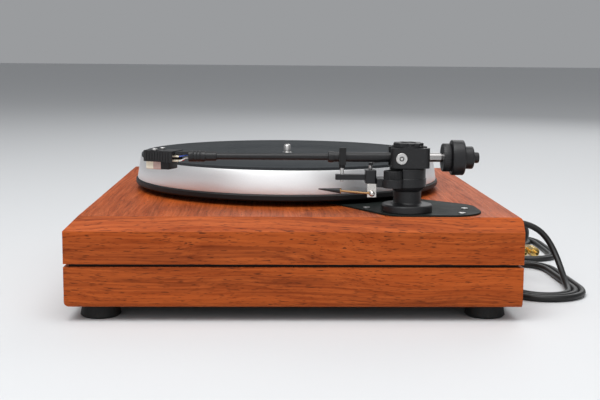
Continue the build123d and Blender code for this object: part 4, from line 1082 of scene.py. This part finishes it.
@dataclass
class ArmTube:
    """Tube with its collars, stub, force dial and counterweight."""

    bore: float = 1.6
    thin: float = 2.82
    thick: float = 4.15
    collar: float = 4.6
    front_collar: float = 3.9
    connector: float = 4.65
    collar_length: float = 5.0
    front_collar_length: float = 9.3
    connector_length: float = 14.3
    step_ahead: float = 33.0  # thick tube's front, ahead of the pivot's axis, less its collar
    stub_gap: float = 0.3
    dial_flutes: int = 40
    weight_flutes: int = 48

    def build(self) -> None:
        """Make the arm from its connector to the counterweight."""
        self.tube()
        softened("arm_cradle", 0.3)
        softened("rear_stub", 0.2)
        self.dial()
        self.weight()

    def tube(self) -> None:
        """Turn the tube with its three collars."""
        box = Extent.of("arm_tube")
        front, rear = box.low.y, box.high.y
        middle = box.middle
        nose = front + self.connector_length
        neck = nose + self.front_collar_length
        step = self.step_place()
        edge = 0.35
        profile = [(self.bore, front), (self.connector - edge, front), (self.connector, front + edge)]
        for share in (0.3, 0.5, 0.7):
            y = front + share * self.connector_length
            profile += [(self.connector, y - 0.5), (self.connector - 0.3, y), (self.connector, y + 0.5)]
        profile += [
            (self.connector, nose - edge), (self.connector - edge, nose), (self.front_collar, nose),
            (self.front_collar, neck - edge), (self.front_collar - edge, neck), (self.thin, neck),
            (self.thin, step), (self.collar - edge, step), (self.collar, step + edge),
            (self.collar, step + self.collar_length - edge), (self.collar - edge, step + self.collar_length),
            (self.thick, step + self.collar_length), (self.thick, rear), (self.bore, rear),
        ]
        shape = turned(profile, (middle.x, 0.0, Extent.of("rear_stub").middle.z), Axis.REAR, True, 64)
        piece("arm_tube_turned", shape, "arm_beam", [ARM_BLACK.material()], ("arm_tube",))

    def step_place(self) -> float:
        """Place along the arm where the thin tube meets its collar."""
        return Extent.of("yoke_housing").low.y - self.step_ahead - self.collar_length - 14.0

    def dial(self) -> None:
        """Turn the fluted force dial."""
        box = Extent.of("force_dial")
        front, rear = box.low.y, box.high.y
        outer = (box.high.x - box.low.x) / 2
        hole = Extent.of("rear_stub")
        inner = (hole.high.x - hole.low.x) / 2 + self.stub_gap
        edge = 0.5
        profile = [
            (inner, front), (outer - edge, front), (outer, front + edge), (outer, (front + rear) / 2),
            (outer, rear - edge), (outer - edge, rear), (inner, rear),
        ]
        at = (box.middle.x, 0.0, box.middle.z)
        shape = turned(profile, at, Axis.REAR, True, 4 * self.dial_flutes)
        flute(shape, at, Axis.REAR, (front + 0.1, rear - 0.1), outer - 0.1, self.dial_flutes, 0.3)
        material = WEIGHT_BLACK.material(tuple(box.middle * MM), Axis.REAR)
        piece("force_dial_fluted", shape, "weight_dial", [material], ("force_dial",), 50.0)

    def weight(self) -> None:
        """Dress the counterweight."""
        softened("counterweight", 0.6, segments=3)


@dataclass
class Headshell:
    """Ribbed shell, cartridge in three blocks, screws and wires."""

    turn: float = 25.0
    cream_share: float = 0.36  # of the cartridge's length, from its front
    pink_share: float = 0.64
    holder_share: float = 0.5
    sleeve_share: float = 0.55

    def build(self) -> None:
        """Dress everything that is turned with the shell."""
        softened("headshell", 0.35, SHELL_PLASTIC)
        softened("headshell_screws", 0.3, STEEL)
        self.holder()
        softened("cantilever", 0.0)
        self.cartridge()
        self.wires()

    def cartridge(self) -> None:
        """Make the cartridge's body, cream at its front, pink in its middle and black behind."""
        shares = [self.cream_share, self.pink_share]
        shape = self.banded("cartridge_body", shares)
        materials = [CREAM.material(), PINK.material(), PLASTIC.material()]
        made = piece("cartridge_blocks", shape, "arm_beam", materials, ("cartridge_body",))
        round_edges(made, 0.25)

    def holder(self) -> None:
        """Make the stylus holder, cream at its front and pink behind."""
        shape = self.banded("stylus_holder", [self.holder_share])
        materials = [CREAM.material(), PINK.material()]
        made = piece("stylus_holder_finished", shape, "arm_beam", materials, ("stylus_holder",))
        round_edges(made, 0.3)

    def banded(self, node: str, shares: list[float]) -> bmesh.types.BMesh:
        """Cut a node's copy across the shell's heading and number the bands.

        Args:
            node: Name of the node.
            shares: Places of the cuts, as shares of its length from the front.

        Returns:
            The copy, with each face's material index its band.
        """
        heading = self.heading()
        shape = merged_copy(node)
        reach = [vertex.co.dot(heading) for vertex in shape.verts]
        rear, front = min(reach), max(reach)
        for share in shares:
            cut = front - share * (front - rear)
            bmesh.ops.bisect_plane(
                shape, geom=[*shape.verts, *shape.edges, *shape.faces], plane_co=heading * cut, plane_no=heading
            )
        for face in shape.faces:
            place = (front - face.calc_center_median().dot(heading)) / (front - rear)
            face.material_index = sum(place > share for share in shares)
        return shape

    def heading(self) -> Vector:
        """Level direction from the shell's rear towards its front."""
        turn = math.radians(self.turn)
        return Vector((-math.sin(turn), -math.cos(turn), 0.0))

    def wires(self) -> None:
        """Give each wire its colour, and its front end a cream sleeve."""
        shape = self.banded("head_wires", [self.sleeve_share])
        for index, faces in enumerate(self.islands(shape)):
            for face in faces:
                sleeved = face.material_index == 0
                face.material_index = 0 if sleeved else 1 + index % len(WIRES)
        materials = [CREAM.material(), *(finish.material() for finish in WIRES)]
        piece("head_wires_sleeved", shape, "arm_beam", materials, ("head_wires",), 60.0)

    def islands(self, shape: bmesh.types.BMesh) -> list[list[bmesh.types.BMFace]]:
        """Group a shape's faces into its separate solids.

        Args:
            shape: The shape.

        Returns:
            Lists of faces, in order of their place across the deck.
        """
        left = set(shape.faces)
        groups = []
        while left:
            group = [left.pop()]
            for face in group:
                for edge in face.edges:
                    for other in edge.link_faces:
                        if other in left:
                            left.remove(other)
                            group.append(other)
            groups.append(group)
        return sorted(groups, key=lambda faces: faces[0].calc_center_median().x)


@dataclass
class LiftAndRest:
    """Lift cylinder and bar, arm rest with its clip, and the cue lever."""

    tip_share: float = 0.62   # of the lever's length where its black tip begins
    bar_thickness: float = 2.0

    def build(self) -> None:
        """Dress the lift and the rest."""
        softened("lift_cylinder", 0.4)
        self.bar()
        softened("rest_bar", 0.4)
        softened("rest_post", 0.2)
        softened("rest_clip", 0.3)
        softened("cue_bracket", 0.3, segments=3)
        self.lever()

    def bar(self) -> None:
        """Part the lift bar's steel pin from the black arc on top of it."""
        shape = merged_copy("lift_bar")
        arc_bottom = (Extent.of("lift_bar").high.z - self.bar_thickness) * MM
        for face in shape.faces:
            lowest = min(vertex.co.z for vertex in face.verts)
            face.material_index = int(lowest < arc_bottom - 0.1 * MM)
        materials = [ARM_BLACK.material(), STEEL.material()]
        made = piece("lift_bar_finished", shape, "lifter", materials, ("lift_bar",))
        round_edges(made, 0.25)

    def lever(self) -> None:
        """Cut the lever where its black tip begins."""
        shape = merged_copy("cue_lever")
        box = Extent.of("cue_lever")
        cut = (box.high.y + (box.low.y - box.high.y) * self.tip_share) * MM
        bmesh.ops.bisect_plane(
            shape, geom=[*shape.verts, *shape.edges, *shape.faces], plane_co=(0, cut, 0), plane_no=(0, 1, 0)
        )
        ball = (box.high.y - 5.2) * MM
        for face in shape.faces:
            y = face.calc_center_median().y
            face.material_index = 1 if y < cut else 2 if y > ball else 0
        materials = [BRASS.material(), ARM_BLACK.material(), CHROME.material()]
        piece("cue_lever_finished", shape, "lever", materials, ("cue_lever",))


@dataclass
class Works:
    """Bearing, motor, belt, button and what is inside the plinth."""

    smooth_nodes: tuple[str, ...] = (
        "bearing_housing", "motor_can", "motor_pulley", "drive_belt", "power_button", "arm_nut",
        "motor_shaft", "thrust_ball", "bearing_bushes", "machine_screws",
    )
    plain_nodes: tuple[str, ...] = ("power_switch",)

    def build(self) -> None:
        """Dress the inner pieces."""
        for node in self.smooth_nodes:
            softened(node, 0.0)
        for node in self.plain_nodes:
            dress(node)


def main() -> None:
    """Build the record player and its studio, camera and cords first."""
    logging.basicConfig(level=logging.INFO, format="%(name)s %(message)s")
    for group in (Studio(), Leads(), Plinth(), Platter(), ArmBase(), ArmHousing(), ArmTube(), Headshell(),
                  LiftAndRest(), Works()):
        group.build()
        log.info("%s done", type(group).__name__)


if __name__ == "__main__":
    main()
